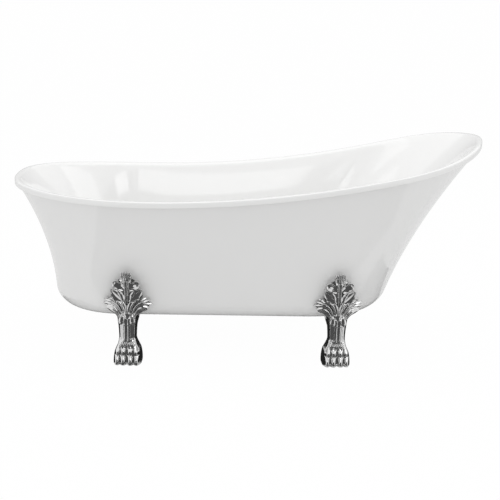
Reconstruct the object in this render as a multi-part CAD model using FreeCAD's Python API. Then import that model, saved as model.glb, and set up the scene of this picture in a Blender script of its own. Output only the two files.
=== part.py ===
"""Clawfoot slipper bathtub: a double-skinned acrylic tub on four cast claw feet.

Frame: X runs along the tub, with the low foot end at -X and the high sloping back at +X.
Y is across the tub, Z is up, and the origin is on the floor under the middle of the tub.
All sizes are in millimetres.
"""
import math
import os

import FreeCAD
import Part

V = FreeCAD.Vector
UP = V(0, 0, 1)
os.makedirs("parts", exist_ok=True)

# ---------------------------------------------------------------- driving sizes: the tub
tub_length = 1700.0
tub_width = 770.0
rim_low_height = 590.0          # floor to the lowest point of the rim
rim_low_x = -358.0              # where the rim is lowest
rim_foot_rise = 23.0            # how far the rim climbs from there to the foot end
rim_head_rise = 187.0           # and to the head end
rim_foot_end = 545.0            # length of the rounded foot end, seen from above
rim_foot_power = 2.45           # squareness of that end, 2 is an ellipse
rim_head_end = 369.0
rim_head_power = 2.4
rim_head_tip_power = 1.87       # its squareness at the very tip

lip_height = 21.0               # turned-down outer edge of the rim
lip_radius = 5.5                # its rounded top edge
lip_overhang = 12.0             # how far it stands out over the outer skin
rim_flat = 2.5                  # level crest of the rim
rim_inner_radius = 20.0         # soft shoulder from the crest into the bath

ground_clearance = 156.0        # floor to the underside of the tub
skirt_wall = 5.0
skirt_foot_setback = 143.0      # the outer skin's bottom edge, in from the rim's tips and sides
skirt_head_setback = 346.0
skirt_side_setback = 78.0
skirt_foot_end = 268.0
skirt_head_end = 303.0
skirt_power = 2.2
skirt_edge_radius = 58.0
skirt_foot_flare = -0.12        # share of the flare that is straight, the rest is a parabola
skirt_head_flare = 0.57
skirt_side_flare = 0.79

basin_wall = 8.0                # laminate thickness, measured level
basin_floor_thickness = 8.0
basin_floor_fall = 7.0          # the floor drops this much from the head end to the waste
basin_foot_setback = 200.0
basin_head_setback = 398.0
basin_side_setback = 123.0
basin_foot_end = 230.0
basin_head_end = 250.0
basin_power = 2.2
basin_foot_radius = 95.0        # round between the floor and the walls
basin_foot_flare = 0.0
basin_head_flare = 0.57
basin_side_flare = 0.6
basin_lip_ledge = 3.5           # the outer skin's top edge to the hidden back of the rim

# ---------------------------------------------------------------- driving sizes: the frame
bearer_height = 35.0
bearer_width = 50.0
bearer_end_gap = 4.0            # bearer's end to the outer skin's rounded edge
board_thickness = 12.0
board_bolt_gap = 3.0            # innermost bolts' middles to the board's side
board_foot_gap = 47.0           # waste centre to the board's foot-end edge
board_head_reach = 12.0         # the board runs this far past the head-end bearer's middle
board_corner_radius = 60.0

# ---------------------------------------------------------------- driving sizes: the feet
foot_end_setback = 431.0        # rim's foot tip to the middle of the foot-end pair
foot_head_setback = 535.0       # rim's head tip to the head-end pair
foot_side_setback = 67.0        # rim's side to the middles of the foot-end pair
foot_head_side_setback = 75.0   # and of the head-end pair, where the tub narrows
foot_splay = 3.0                # degrees the feet turn outward
paw_height = 88.0
paw_half_width = 49.0
paw_front = 42.0
paw_back = 50.0
paw_lift = 2.0                  # claws clear the floor by this much
ankle_half_width = 31.0
ankle_depth = 29.0              # half of the ankle's front-to-back size
ankle_height = 100.0
husk_swell = 5.0                # the leg's front at the flange, ahead of the ankle's
flute_depth = 3.5
shin_wall = 11.0
toe_count = 4
toe_half_width = 10.5
toe_reach = 9.0
toe_pitch = 24.0
toe_height = 31.0
knuckle_z = 39.0                # bottom of the row of knuckles over the toes
knuckle_reach = 6.5
leaf_height = 179.0             # crown's tip above the tub's underside
leaf_half_width = 86.0
leaf_thickness = 7.0
leaf_dome_drop = 20.0           # how far the side lobes sweep back from the midrib
leaf_clearance = 1.5            # leaf to the outer skin
# Petals of the leaf's right half. Each has a middle line from its root over a bend to its tip,
# in places out from the midrib and above the tub's underside; half widths at root, middle and
# tip; the lift of its edges at root and tip; and its ridge over them, or its dip.
leaf_petals = [
    (((26, 15), (35, 55), (73, 45)), (6, 11, 2), (5, 4), 4),         # lower scroll
    (((33, 57), (42, 38), (62, 31)), (6, 9, 1), (4, 2), 3),          # side lobe, from its lowest tooth
    (((33, 58), (58, 52), (85, 56)), (8, 11, 1), (5, 2), 4),
    (((33, 60), (54, 67), (80, 75)), (8, 11, 1), (5, 2), 4),
    (((33, 63), (44, 80), (60, 94)), (8, 11, 1), (5, 3), 4),
    (((10, 75), (19, 103), (54, 120)), (8, 17, 2), (7, 10), 5),      # upper lobe
    (((10, 119), (25, 139), (48, 145)), (7, 13, 1), (7, 13), -4),    # curled lobe under the crown
    (((3, 35), (8, 63), (21, 83)), (2, 8, 1), (10, 10), 4),          # petal beside the boss
    (((18, 25), (20, 9), (21, -9)), (5, 8, 3), (2, -3), 3)]          # husk over the ankle
core_petal = (((0, 17), (0, 49), (0, 165)), (26, 44, 11), (1, 3), 3)
boss_petal = (((0, 11), (0, 33), (0, 53)), (2, 13, 2), (5, 8), 6)
midrib_petal = (((4.5, 67), (4.5, 107), (4.5, 147)), (3, 4.5, 4.3), (6, 8), 4)
crown_petal = (((0, 137), (0, 157), (0, 179)), (4, 5, 2), (7, 12), 4)
crown_count = 5
crown_spread = 3.5              # between the roots of the crown's tips
crown_fan = 4.8                 # how much further apart their ends are
crown_drop = 1.5                # how much lower each tip is than the one inside it
petal_steps = 3                 # bands along each petal
flange_thickness = 11.0
flange_half_width = 28.0
flange_reach = 166.0            # foot's middle to the flange's inner end
flange_web = 6.0
bolt_radius = 4.0
bolt_clearance = 0.4
bolt_first = 120.0              # foot's middle to the first bolt
bolt_pitch = 30.0
bolt_head_height = 5.3
bolt_head_radius = 7.0
washer_radius = 9.5
washer_thickness = 1.6
tee_nut_flange = 1.5
tee_nut_radius = 11.0
tee_nut_barrel = 5.2
tee_nut_length = 10.0
tee_nut_sink = 0.3              # its flange below the bearer's top
bolt_tip_gap = 1.0              # bolt's tip below the tee nut's flange

leveller_radius = 5.0
leveller_length = 52.0
thread_clearance = 0.06
pad_radius = 15.0
pad_thickness = 5.0
pad_spigot = 4.0
collar_height = 4.0
collar_radius = 9.5
lock_nut_height = 6.5
lock_nut_radius = 9.8
gap = 0.3                       # between faces of pieces that move on each other

# ---------------------------------------------------------------- driving sizes: the waste
waste_foot_setback = 338.0      # rim's foot tip to the waste
waste_recess = 3.0              # seat sunk into the bath's floor round the waste
waste_spot = 0.4                # level seat cut under the floor
waste_flange_radius = 35.0
waste_flange_thickness = 3.0
waste_stem_radius = 24.0
waste_stem_wall = 3.0
waste_stem_length = 22.0
waste_hole_clearance = 0.6
gasket_radius = 33.0
gasket_upper_thickness = 1.5
gasket_lower_thickness = 4.0
tee_flange_thickness = 4.0
tee_radius = 28.0
tee_length = 42.0
tee_inlet_reach = 20.0
access_radius = 45.0
tail_radius = 19.05
tail_wall = 1.5
tail_socket_wall = 3.0
tail_socket_length = 26.0
tail_free_length = 25.0         # plain end that a trap's socket takes
bead_height = 3.0               # rolled bead that stops the socket and the slip nut
bead_rise = 2.0
slip_nut_height = 18.0
slip_nut_wall = 4.5
slip_nut_floor = 3.0
slip_washer_height = 5.0
cartridge_radius = 8.0
cartridge_height = 18.0
spoke_width = 4.0
spoke_height = 8.0
stem_radius = 4.0
stem_length = 32.0
cap_radius = 31.0
cap_thickness = 5.0
cap_crown = 1.5
seal_thickness = 2.0
seal_width = 6.0

overflow_drop = 132.0           # rim's foot tip down to the overflow
overflow_hole_radius = 18.0
overflow_cover_radius = 33.0
overflow_cover_height = 6.0
overflow_flange_radius = 30.0
overflow_flange_thickness = 3.0
overflow_gasket_thickness = 2.0
overflow_spot = 0.3             # level seat cut behind the wall
overflow_can_radius = 20.0
overflow_can_depth = 11.0
overflow_wall = 2.5
overflow_screw_radius = 2.5
pipe_radius = 10.0
pipe_wall = 1.6
pipe_bend_drop = 60.0           # overflow down to the pipe's upper bend
pipe_corner_setback = 52.0      # outer skin's foot end in to the pipe's lower bend
pipe_bend_radius = 45.0
pipe_upper_bend_radius = 120.0
pipe_socket_wall = 2.0
pipe_socket_length = 16.0

# ---------------------------------------------------------------- sizes that follow
foot_tip = -tub_length / 2
head_tip = tub_length / 2
half_width = tub_width / 2
skirt_half_width = half_width - skirt_side_setback
foot_x = foot_tip + foot_end_setback
head_foot_x = head_tip - foot_head_setback
foot_y = half_width - foot_side_setback
head_foot_y = half_width - foot_head_side_setback
waste_x = foot_tip + waste_foot_setback
frame_z = ground_clearance + skirt_wall
board_z = frame_z + bearer_height
basin_under_z = board_z + board_thickness
basin_floor_z = basin_under_z + basin_floor_thickness
floor_slope = basin_floor_fall / (head_foot_x - waste_x)

end_steps = 9                   # stations on each quarter of an end
side_steps = 4                  # stations along each straight side
edge_steps = 3                  # bands round a bottom edge
wall_steps = 4                  # bands up a wall


def save(name, shape):
    """Write one sub-part."""
    if not shape.isValid():
        print("not valid:", name)
    shape.exportStep("parts/%s.step" % name)
    print("%-20s volume %10.1f  solids %d" % (name, shape.Volume, len(shape.Solids)))


def cylinder(radius, height, base, direction=UP):
    return Part.makeCylinder(radius, height, base, direction)


def tube(outer, inner, height, base, direction=UP):
    return cylinder(outer, height, base, direction).cut(cylinder(inner, height, base, direction))


def hexagon(radius, height, base):
    """Six-sided prism, for nut and bolt heads."""
    corners = [base + V(radius * math.cos(math.radians(60 * i)), radius * math.sin(math.radians(60 * i)), 0)
               for i in range(7)]
    return Part.Face(Part.makePolygon(corners)).extrude(V(0, 0, height))


def prism(points, move):
    """Solid from a closed outline of points, pushed along a vector."""
    return Part.Face(Part.makePolygon(points + [points[0]])).extrude(move)


# ---------------------------------------------------------------- tub: plan outlines and heights
def quarter_point(angle, semi_x, semi_y, tip_power, side_power):
    """Point of a quarter superellipse whose squareness turns from its tip's to its side's."""
    power = tip_power + (side_power - tip_power) * math.sin(angle) ** 2
    return V(semi_x * max(0.0, math.cos(angle)) ** (2 / power), semi_y * math.sin(angle) ** (2 / power), 0)


def quarter(semi_x, semi_y, tip_power, side_power):
    """Points of a quarter outline from its tip to its side, each with its outward normal."""
    shape = (semi_x, semi_y, tip_power, side_power)
    nudge = 1e-4
    points = [(V(semi_x, 0, 0), V(1, 0, 0))]
    for i in range(1, end_steps):
        angle = math.pi / 2 * i / end_steps
        run = quarter_point(angle + nudge, *shape) - quarter_point(angle - nudge, *shape)
        points.append((quarter_point(angle, *shape), V(run.y, -run.x, 0).normalize()))
    return points + [(V(0, semi_y, 0), V(0, 1, 0))]


def outline(foot_end_x, head_end_x, half, foot_semi, head_semi, foot_power, head_power, head_tip_power):
    """Stations round a tub outline, from the head tip over +Y to the foot tip and back over -Y."""
    head_centre = head_end_x - head_semi
    foot_centre = foot_end_x + foot_semi
    upper = [(V(head_centre + p.x, p.y, 0), n) for p, n in quarter(head_semi, half, head_tip_power, head_power)]
    for i in range(1, side_steps):
        x = head_centre + (foot_centre - head_centre) * i / side_steps
        upper.append((V(x, half, 0), V(0, 1, 0)))
    foot_quarter = quarter(foot_semi, half, foot_power, foot_power)
    upper += [(V(foot_centre - p.x, p.y, 0), V(-n.x, n.y, 0)) for p, n in reversed(foot_quarter)]
    lower = [(V(p.x, -p.y, 0), V(n.x, -n.y, 0)) for p, n in reversed(upper[1:-1])]
    return upper + lower


rim_outline = outline(foot_tip, head_tip, half_width, rim_foot_end, rim_head_end,
                      rim_foot_power, rim_head_power, rim_head_tip_power)
skirt_outline = outline(foot_tip + skirt_foot_setback, head_tip - skirt_head_setback, skirt_half_width,
                        skirt_foot_end, skirt_head_end, skirt_power, skirt_power, skirt_power)
basin_outline = outline(foot_tip + basin_foot_setback, head_tip - basin_head_setback,
                        half_width - basin_side_setback, basin_foot_end, basin_head_end,
                        basin_power, basin_power, basin_power)
stations = range(len(rim_outline))


def rim_height(x):
    """Height of the rim's crest: two parabolas that meet level at its lowest point."""
    if x < rim_low_x:
        return rim_low_height + rim_foot_rise * ((rim_low_x - x) / (rim_low_x - foot_tip)) ** 2
    return rim_low_height + rim_head_rise * ((x - rim_low_x) / (head_tip - rim_low_x)) ** 2


def rim_point(k, inset, drop):
    """Point of the rim's section at station k, in from the lip's face and down from the crest."""
    point, normal = rim_outline[k]
    place = point - normal * inset
    return V(place.x, place.y, rim_height(point.x) - drop)


def rim_ring(inset, drop):
    return [rim_point(k, inset, drop) for k in stations]


def grown(base, amount):
    """An outline moved outward by an amount, or inward when it is negative."""
    return [(point + normal * amount, normal) for point, normal in base]


def flare_share(k, foot_flare, head_flare, side_flare):
    """Straight share of the wall's flare at station k, turning from the ends' to the sides'."""
    point = rim_outline[k][0]
    sideways = min(1.0, abs(point.y) / half_width) ** 2
    end_flare = foot_flare if point.x < 0 else head_flare
    return end_flare * (1 - sideways) + side_flare * sideways


def floor_level(x):
    """Height of the bath's floor above its height at the waste."""
    return floor_slope * (x - waste_x)


class Bowl:
    """A flared wall with a rounded bottom edge, between a bottom outline and a top ring."""

    def __init__(self, bottom, top, flares, base_z, radius, slope=0.0):
        self.bottom = bottom
        self.top = top
        self.flares = flares
        self.base_z = base_z
        self.radius = radius
        self.slope = slope

    def base(self, x):
        return self.base_z + self.slope * (x - waste_x)

    def height(self, k):
        return self.top[k].z - self.base(self.bottom[k][0].x)

    def point(self, k, rise):
        """Point of the wall at station k, at a rise above the bowl's bottom."""
        start, normal = self.bottom[k]
        share = rise / self.height(k)
        spread = self.flares[k] * share + (1 - self.flares[k]) * share ** 2
        over = max(0.0, self.radius - rise)
        inset = self.radius - math.sqrt(self.radius ** 2 - over ** 2)
        place = start + (self.top[k] - start) * spread - normal * inset
        return V(place.x, place.y, self.base(place.x) + rise)

    def rings(self):
        """Rings of points from the flat bottom's edge, round the edge and up to the top ring."""
        rings = []
        for i in range(edge_steps):
            rise = self.radius * (1 - math.cos(math.pi / 2 * i / edge_steps))
            rings.append([self.point(k, rise) for k in stations])
        for i in range(wall_steps):
            ring = []
            for k in stations:
                rise = self.radius + (self.height(k) - self.radius) * i / wall_steps
                ring.append(self.point(k, rise))
            rings.append(ring)
        rings.append(self.top)
        return rings

    def side_y(self, z):
        """Half width of the straight side at a height."""
        return self.point(end_steps + side_steps // 2, z - self.base_z).y


def flat_face(corners):
    return Part.Face(Part.makePolygon(corners + [corners[0]]))


def band(low, high):
    """Flat triangles between two closed rings with as many points, split along the shorter way."""
    faces = []
    for i in range(len(low)):
        a, b, c, d = low[i - 1], low[i], high[i], high[i - 1]
        if (c - a).Length < (d - b).Length:
            faces += [flat_face([a, b, c]), flat_face([a, c, d])]
        else:
            faces += [flat_face([a, b, d]), flat_face([b, c, d])]
    return faces


def faceted(rings):
    """Solid of flat facets through closed rings of points, its first and last ring filled flat."""
    faces = [flat_face(rings[0]), flat_face(rings[-1])]
    for low, high in zip(rings, rings[1:]):
        faces += band(low, high)
    sewn = Part.makeCompound(faces)
    sewn.sewShape(0.01)
    solid = Part.Solid(sewn.Shells[0])
    if solid.Volume < 0:
        solid.reverse()
    return solid


# ---------------------------------------------------------------- tub: the two shells
skirt_flares = [flare_share(k, skirt_foot_flare, skirt_head_flare, skirt_side_flare) for k in stations]
basin_flares = [flare_share(k, basin_foot_flare, basin_head_flare, basin_side_flare) for k in stations]


def roll_angle(k):
    """How far the rim's inner shoulder turns before it meets the wall, 90 degrees if that is upright."""
    inner = rim_point(k, lip_radius + rim_flat + rim_inner_radius, rim_inner_radius / 2)
    start = basin_outline[k][0]
    run = math.hypot(inner.x - start.x, inner.y - start.y)
    lean = (2 - basin_flares[k]) * run / (inner.z - basin_floor_z - floor_level(start.x))
    return math.pi / 2 - math.atan(lean)


roll_angles = [roll_angle(k) for k in stations]


def shoulder_ring(share):
    """Ring on the rim's inner shoulder, from its crest at 0 to the wall at 1."""
    ring = []
    for k in stations:
        angle = roll_angles[k] * share
        inset = lip_radius + rim_flat + rim_inner_radius * math.sin(angle)
        ring.append(rim_point(k, inset, rim_inner_radius * (1 - math.cos(angle))))
    return ring


def lip_round_ring(share):
    """Ring on the lip's rounded top edge, from the crest at 0 to the lip's face at 1."""
    angle = math.pi / 2 * share
    return rim_ring(lip_radius * (1 - math.sin(angle)), lip_radius * (1 - math.cos(angle)))


inner_bowl = Bowl(basin_outline, shoulder_ring(1.0), basin_flares, basin_floor_z,
                  basin_foot_radius, floor_slope)
skirt_top = rim_ring(lip_overhang, lip_height)
lining_top = rim_ring(lip_overhang + skirt_wall, lip_height)
hidden_top = rim_ring(lip_overhang + skirt_wall + basin_lip_ledge, lip_height)
hidden_bowl = Bowl(grown(basin_outline, basin_wall), hidden_top, basin_flares,
                   basin_under_z, basin_foot_radius + basin_wall, floor_slope)
outer_bowl = Bowl(skirt_outline, skirt_top, skirt_flares, ground_clearance, skirt_edge_radius)
lining_bowl = Bowl(grown(skirt_outline, -skirt_wall), lining_top, skirt_flares, frame_z,
                   skirt_edge_radius - skirt_wall)


def make_basin():
    """Vacuum-formed inner bath with its floor, walls, shoulder, crest and turned-down lip."""
    shoulder = [shoulder_ring(share) for share in (0.67, 0.33, 0.0)]
    lip_round = [lip_round_ring(share) for share in (0.0, 0.33, 0.67, 1.0)]
    underside = [rim_ring(0.0, lip_height), skirt_top, lining_top]
    return faceted(inner_bowl.rings() + shoulder + lip_round + underside + hidden_bowl.rings()[::-1])


def make_skirt():
    """Outer skin: flared wall, rounded bottom edge and flat underside, open at the top."""
    return faceted(outer_bowl.rings() + lining_bowl.rings()[::-1])


# ---------------------------------------------------------------- feet: where they stand
def feet_places():
    """The four feet: name, place on the floor and how far each is turned about the vertical."""
    return [("front_left", V(foot_x, -foot_y, 0), -foot_splay),
            ("front_right", V(head_foot_x, -head_foot_y, 0), foot_splay),
            ("back_left", V(foot_x, foot_y, 0), 180 + foot_splay),
            ("back_right", V(head_foot_x, head_foot_y, 0), 180 - foot_splay)]


def put(shape, place, turn):
    """Copy of a shape made about the origin, turned and set down at a foot's place."""
    moved = shape.copy()
    moved.rotate(V(0, 0, 0), UP, turn)
    moved.translate(place)
    return moved


def bolt_places():
    """Where the bolts of one foot are, in that foot's own frame, whose front faces -Y."""
    return [V(0, bolt_first, 0), V(0, bolt_first + bolt_pitch, 0)]


# ---------------------------------------------------------------- feet: the casting
leg_top = ground_clearance - flange_thickness
web_foot_z = (ankle_height + leg_top) / 2
nut_ceiling = pad_thickness + collar_height + gap + lock_nut_height
bore_radius = leveller_radius + thread_clearance


def wall_reach(z):
    """The outer skin's straight side at a height, measured outward from a foot's middle."""
    return outer_bowl.side_y(z) - foot_y


leaf_low_z = ground_clearance + skirt_edge_radius
leaf_tip_z = ground_clearance + leaf_height
leaf_lean = math.atan((wall_reach(leaf_tip_z) - wall_reach(leaf_low_z)) / (leaf_tip_z - leaf_low_z))
leaf_swell = leaf_clearance + leaf_thickness + leaf_dome_drop


def leaf_reach(z):
    """The leaf's midline front at a height, outward from the foot's middle."""
    return wall_reach(leaf_low_z) + leaf_swell + (z - leaf_low_z) * math.tan(leaf_lean)


def ground_reach(z):
    """Front of the foot's midline over the paw: it follows the ankle, then closes on the wall."""
    husk_reach = ankle_depth + husk_swell
    if z > leaf_low_z:
        return leaf_reach(z)
    if z > leg_top:
        return husk_reach + (leaf_reach(leaf_low_z) - husk_reach) * (z - leg_top) / (leaf_low_z - leg_top)
    return ankle_depth + husk_swell * (z - ankle_height) / (leg_top - ankle_height)


def leg_section(z, half, front, back, flute):
    """Outline of the leg at a height: two ribs and side flutes in front, rounded corners behind."""
    depth = front + back
    deep = front - flute
    shape = [(0.0, deep), (0.08, front), (0.3, front), (0.42, deep), (0.7, deep), (0.86, front - 0.1 * depth),
             (1.0, front - 0.35 * depth), (1.0, 0.3 * depth - back), (0.72, -back)]
    right = [V(half * share, -reach, z) for share, reach in shape]
    left = [V(-p.x, p.y, z) for p in reversed(right[1:])]
    return right + left


def make_leg():
    """Paw, ankle and fluted shin in one column that runs up behind the leaf."""
    low_leaf_z = ground_clearance + 0.2 * leaf_height
    sections = [
        leg_section(paw_lift, 0.86 * paw_half_width, 0.9 * paw_front, 0.9 * paw_back, 0),
        leg_section(0.14 * paw_height, 0.96 * paw_half_width, paw_front, paw_back, 0),
        leg_section(0.55 * paw_height, paw_half_width, paw_front, paw_back, 0),
        leg_section(0.8 * paw_height, 0.88 * paw_half_width, 0.86 * paw_front, 0.84 * paw_back, 0),
        leg_section(paw_height, ankle_half_width + 4, ankle_depth + 3, ankle_depth + 4, 0.6 * flute_depth),
        leg_section(ankle_height, ankle_half_width, ankle_depth, ankle_depth, flute_depth),
        leg_section(web_foot_z, ankle_half_width + 2, ground_reach(web_foot_z), ankle_depth, flute_depth),
        leg_section(leg_top, ankle_half_width + 6, ground_reach(leg_top), ankle_depth + 2, flute_depth),
        leg_section(low_leaf_z, ankle_half_width + 9, ground_reach(low_leaf_z) - 4, 0, flute_depth),
        leg_section(leaf_low_z, 0.9 * ankle_half_width, leaf_reach(leaf_low_z) - 3, 0, 0)]
    return faceted(sections)


def make_toe(middle, bottom, reach):
    """One toe or knuckle, a faceted swelling out of the paw's front."""
    levels = [(0.0, 0.5, 0.55), (0.3, 0.9, 0.95), (0.7, 1.0, 1.0), (1.0, 0.45, 0.2)]
    root = paw_front - 10.0
    sections = []
    for height, width, swell in levels:
        z = bottom + toe_height * height
        side = toe_half_width * width
        front = paw_front + reach * swell
        sections.append([V(middle - side, -root, z), V(middle - side, -front + 5 * swell, z),
                         V(middle - side / 2, -front, z), V(middle + side / 2, -front, z),
                         V(middle + side, -front + 5 * swell, z), V(middle + side, -root, z)])
    return faceted(sections)


def leaf_place(across, up, lift):
    """Place on the leaf's domed ground, up from the tub's underside and raised by a lift."""
    z = ground_clearance + up
    sweep = leaf_dome_drop * (across / leaf_half_width) ** 2
    return V(across, sweep - ground_reach(z) - lift, z)


def petal_half(share, root, middle, tip):
    """Half width of a petal at a share of its length."""
    if share < 0.5:
        return root + (middle - root) * math.sin(math.pi * share)
    return tip + (middle - tip) * math.sin(math.pi * share)


def petal(form, side=1):
    """One petal with flat facets: two slopes that meet in a ridge or a dip, and a flat back."""
    (root, bend, tip), halves, (root_lift, tip_lift), ridge = form
    rings = []
    for i in range(petal_steps + 1):
        u = i / petal_steps
        across, up = [(1 - u) ** 2 * a + 2 * u * (1 - u) * b + u ** 2 * c for a, b, c in zip(root, bend, tip)]
        run, climb = [(1 - u) * (b - a) + u * (c - b) for a, b, c in zip(root, bend, tip)]
        half = petal_half(u, *halves) / math.hypot(run, climb)
        edge = root_lift + (tip_lift - root_lift) * u
        ring = []
        for way, lift in ((1, edge), (0, edge + ridge), (-1, edge), (-1, -leaf_thickness), (1, -leaf_thickness)):
            ring.append(leaf_place(side * (across - climb * half * way), up + run * half * way, lift))
        rings.append(ring)
    return faceted(rings)


def shifted(form, root_shift, tip_shift):
    """The same petal with its root and tip shifted; its bend goes half way with the tip."""
    (root, bend, tip), halves, lifts, ridge = form
    new_root = (root[0] + root_shift[0], root[1] + root_shift[1])
    new_bend = (bend[0] + (root_shift[0] + tip_shift[0]) / 2, bend[1])
    new_tip = (tip[0] + tip_shift[0], tip[1] + tip_shift[1])
    return (new_root, new_bend, new_tip), halves, lifts, ridge


def make_leaf():
    """Acanthus leaf: core, scrolls, side lobes, boss, midrib and crown."""
    pieces = [petal(core_petal), petal(boss_petal)]
    for side in (1, -1):
        pieces += [petal(form, side) for form in leaf_petals + [midrib_petal]]
    for i in range(crown_count):
        place = i - (crown_count - 1) / 2
        root_shift = (crown_spread * place, 0)
        tip_shift = ((crown_spread + crown_fan) * place, -crown_drop * place ** 2)
        pieces.append(petal(shifted(crown_petal, root_shift, tip_shift)))
    return pieces


def tub_room(place, turn):
    """The outer skin grown by the leaf's clearance, in a foot's own frame, as a cutting tool."""
    top = rim_ring(lip_overhang - leaf_clearance, lip_height)
    bowl = Bowl(grown(skirt_outline, leaf_clearance), top, skirt_flares, ground_clearance, skirt_edge_radius)
    lid_z = rim_low_height + rim_head_rise
    room = faceted(bowl.rings() + [[V(p.x, p.y, lid_z) for p in top]])
    room.translate(place * -1)
    room.rotate(V(0, 0, 0), UP, -turn)
    return room


def make_casting():
    """The front of a foot: leg, toes and knuckles, and the leaf."""
    pieces = make_leaf()
    for bottom, reach in ((paw_lift, toe_reach), (knuckle_z, knuckle_reach)):
        for i in range(toe_count):
            pieces.append(make_toe(toe_pitch * (i - (toe_count - 1) / 2), bottom, reach))
    return make_leg().fuse(pieces)


def make_flange():
    """Flange that bolts up to the tub, with a web down each side of the leg."""
    flange_end = flange_reach - flange_half_width
    plate = Part.makeBox(2 * flange_half_width, flange_end, flange_thickness, V(-flange_half_width, 0, leg_top))
    pieces = [cylinder(flange_half_width, flange_thickness, V(0, flange_end, leg_top))]
    for side in (-1, 1):
        inner = side * (flange_half_width - flange_web / 2) - flange_web / 2
        corners = [V(inner, 0, web_foot_z), V(inner, 0, leg_top), V(inner, flange_end, leg_top)]
        pieces.append(prism(corners, V(flange_web, 0, 0)))
    return plate.fuse(pieces)


def make_foot(front, place, turn):
    """Cast foot in its own frame: hollow shin, bored for the levelling screw, clear of the tub."""
    foot = front.cut(tub_room(place, turn)).fuse(make_flange())
    hollow_half = ankle_half_width - shin_wall
    hollow = Part.makeBox(2 * hollow_half, flange_reach, leg_top - flange_thickness - paw_height,
                          V(-hollow_half, shin_wall - ankle_depth, paw_height))
    cuts = [hollow, cylinder(bore_radius, leveller_length + 10.0, V(0, 0, 0)),
            cylinder(pad_radius + 3.0, nut_ceiling, V(0, 0, 0))]
    for bolt in bolt_places():
        cuts.append(cylinder(bolt_radius + bolt_clearance, flange_thickness, bolt + V(0, 0, leg_top)))
    return foot.cut(cuts).removeSplitter()


# ---------------------------------------------------------------- feet: levellers and fasteners
def make_leveller_screw():
    """Levelling screw with its turning collar, its foot let into the rubber pad."""
    spigot = cylinder(pad_spigot, pad_thickness - 1.5, V(0, 0, 1.5))
    collar = hexagon(collar_radius, collar_height, V(0, 0, pad_thickness))
    shank = cylinder(leveller_radius, leveller_length, V(0, 0, pad_thickness))
    return shank.fuse([spigot, collar])


def make_leveller_pad():
    pad = cylinder(pad_radius, pad_thickness, V(0, 0, 0))
    pad = pad.makeChamfer(1.0, [pad.Edges[0]])
    return pad.cut(cylinder(pad_spigot, pad_thickness, V(0, 0, 1.5)))


def make_lock_nut():
    base = V(0, 0, nut_ceiling - lock_nut_height)
    return hexagon(lock_nut_radius, lock_nut_height, base).cut(cylinder(bore_radius, lock_nut_height, base))


def tee_nut_top(x):
    """Height of a bearer's sloping top at a place along the tub."""
    return board_z + floor_level(x)


def make_bolt(place):
    head_z = leg_top - washer_thickness - bolt_head_height
    head = hexagon(bolt_head_radius, bolt_head_height, V(place.x, place.y, head_z))
    length = tee_nut_top(place.x) - tee_nut_sink - tee_nut_flange - bolt_tip_gap - head_z
    return head.fuse(cylinder(bolt_radius, length, V(place.x, place.y, head_z))).removeSplitter()


def make_washer(place):
    return tube(washer_radius, bolt_radius + bolt_clearance, washer_thickness,
                V(place.x, place.y, leg_top - washer_thickness))


def make_tee_nut(place):
    """Tee nut: flange let into the bearer's top, threaded barrel below it."""
    top = tee_nut_top(place.x) - tee_nut_sink
    flange = cylinder(tee_nut_radius, tee_nut_flange, V(place.x, place.y, top - tee_nut_flange))
    barrel = cylinder(tee_nut_barrel, tee_nut_length, V(place.x, place.y, top - tee_nut_length))
    bore = cylinder(bolt_radius, tee_nut_length, V(place.x, place.y, top - tee_nut_length))
    return flange.fuse(barrel).cut(bore)


def all_bolt_places():
    """Every bolt's place on the tub, from the feet's own frames."""
    places = []
    for name, place, turn in feet_places():
        for local in bolt_places():
            angle = math.radians(turn)
            places.append(V(place.x + local.x * math.cos(angle) - local.y * math.sin(angle),
                            place.y + local.x * math.sin(angle) + local.y * math.cos(angle), 0))
    return places


# ---------------------------------------------------------------- frame under the bath
def sloping_bar(x_low, x_high, bottom, top, half):
    """Bar across the tub whose top, and bottom where it is a function, follow the floor's fall."""
    corners = [V(x_low, -half, bottom(x_low)), V(x_high, -half, bottom(x_high)),
               V(x_high, -half, top(x_high)), V(x_low, -half, top(x_low))]
    return prism(corners, V(0, 2 * half, 0))


def lining_half(x):
    """Half width of the outer skin's flat inside bottom at a place along the tub."""
    edge = lining_bowl.rings()[0][:len(rim_outline) // 2 + 1]
    for near, far in zip(edge, edge[1:]):
        if far.x <= x <= near.x:
            break
    return near.y + (far.y - near.y) * (near.x - x) / (near.x - far.x)


def make_bearer(middle):
    """Timber cross bearer with its bolt holes and the recesses of the tee nuts."""
    near, far = middle - bearer_width / 2, middle + bearer_width / 2
    half = min(lining_half(near), lining_half(far)) - bearer_end_gap
    bar = sloping_bar(near, far, lambda x: frame_z, tee_nut_top, half)
    cuts = []
    for place in all_bolt_places():
        if abs(place.x - middle) < bearer_width / 2:
            top = tee_nut_top(place.x) - tee_nut_sink
            cuts.append(cylinder(bolt_radius + bolt_clearance, bearer_height + 10, V(place.x, place.y, frame_z)))
            cuts.append(cylinder(tee_nut_barrel, tee_nut_length, V(place.x, place.y, top - tee_nut_length)))
            cuts.append(cylinder(tee_nut_radius, 10.0, V(place.x, place.y, top - tee_nut_flange)))
    return bar.cut(cuts)


def make_board():
    """Plywood board laminated under the bath's floor, lying on both bearers."""
    board = sloping_bar(waste_x + board_foot_gap, head_foot_x + board_head_reach, tee_nut_top,
                        lambda x: tee_nut_top(x) + board_thickness, head_foot_y - bolt_places()[-1].y - board_bolt_gap)
    upright = [edge for edge in board.Edges if abs(edge.tangentAt(edge.FirstParameter).z) > 0.99]
    return board.makeFillet(board_corner_radius, upright)


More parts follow.
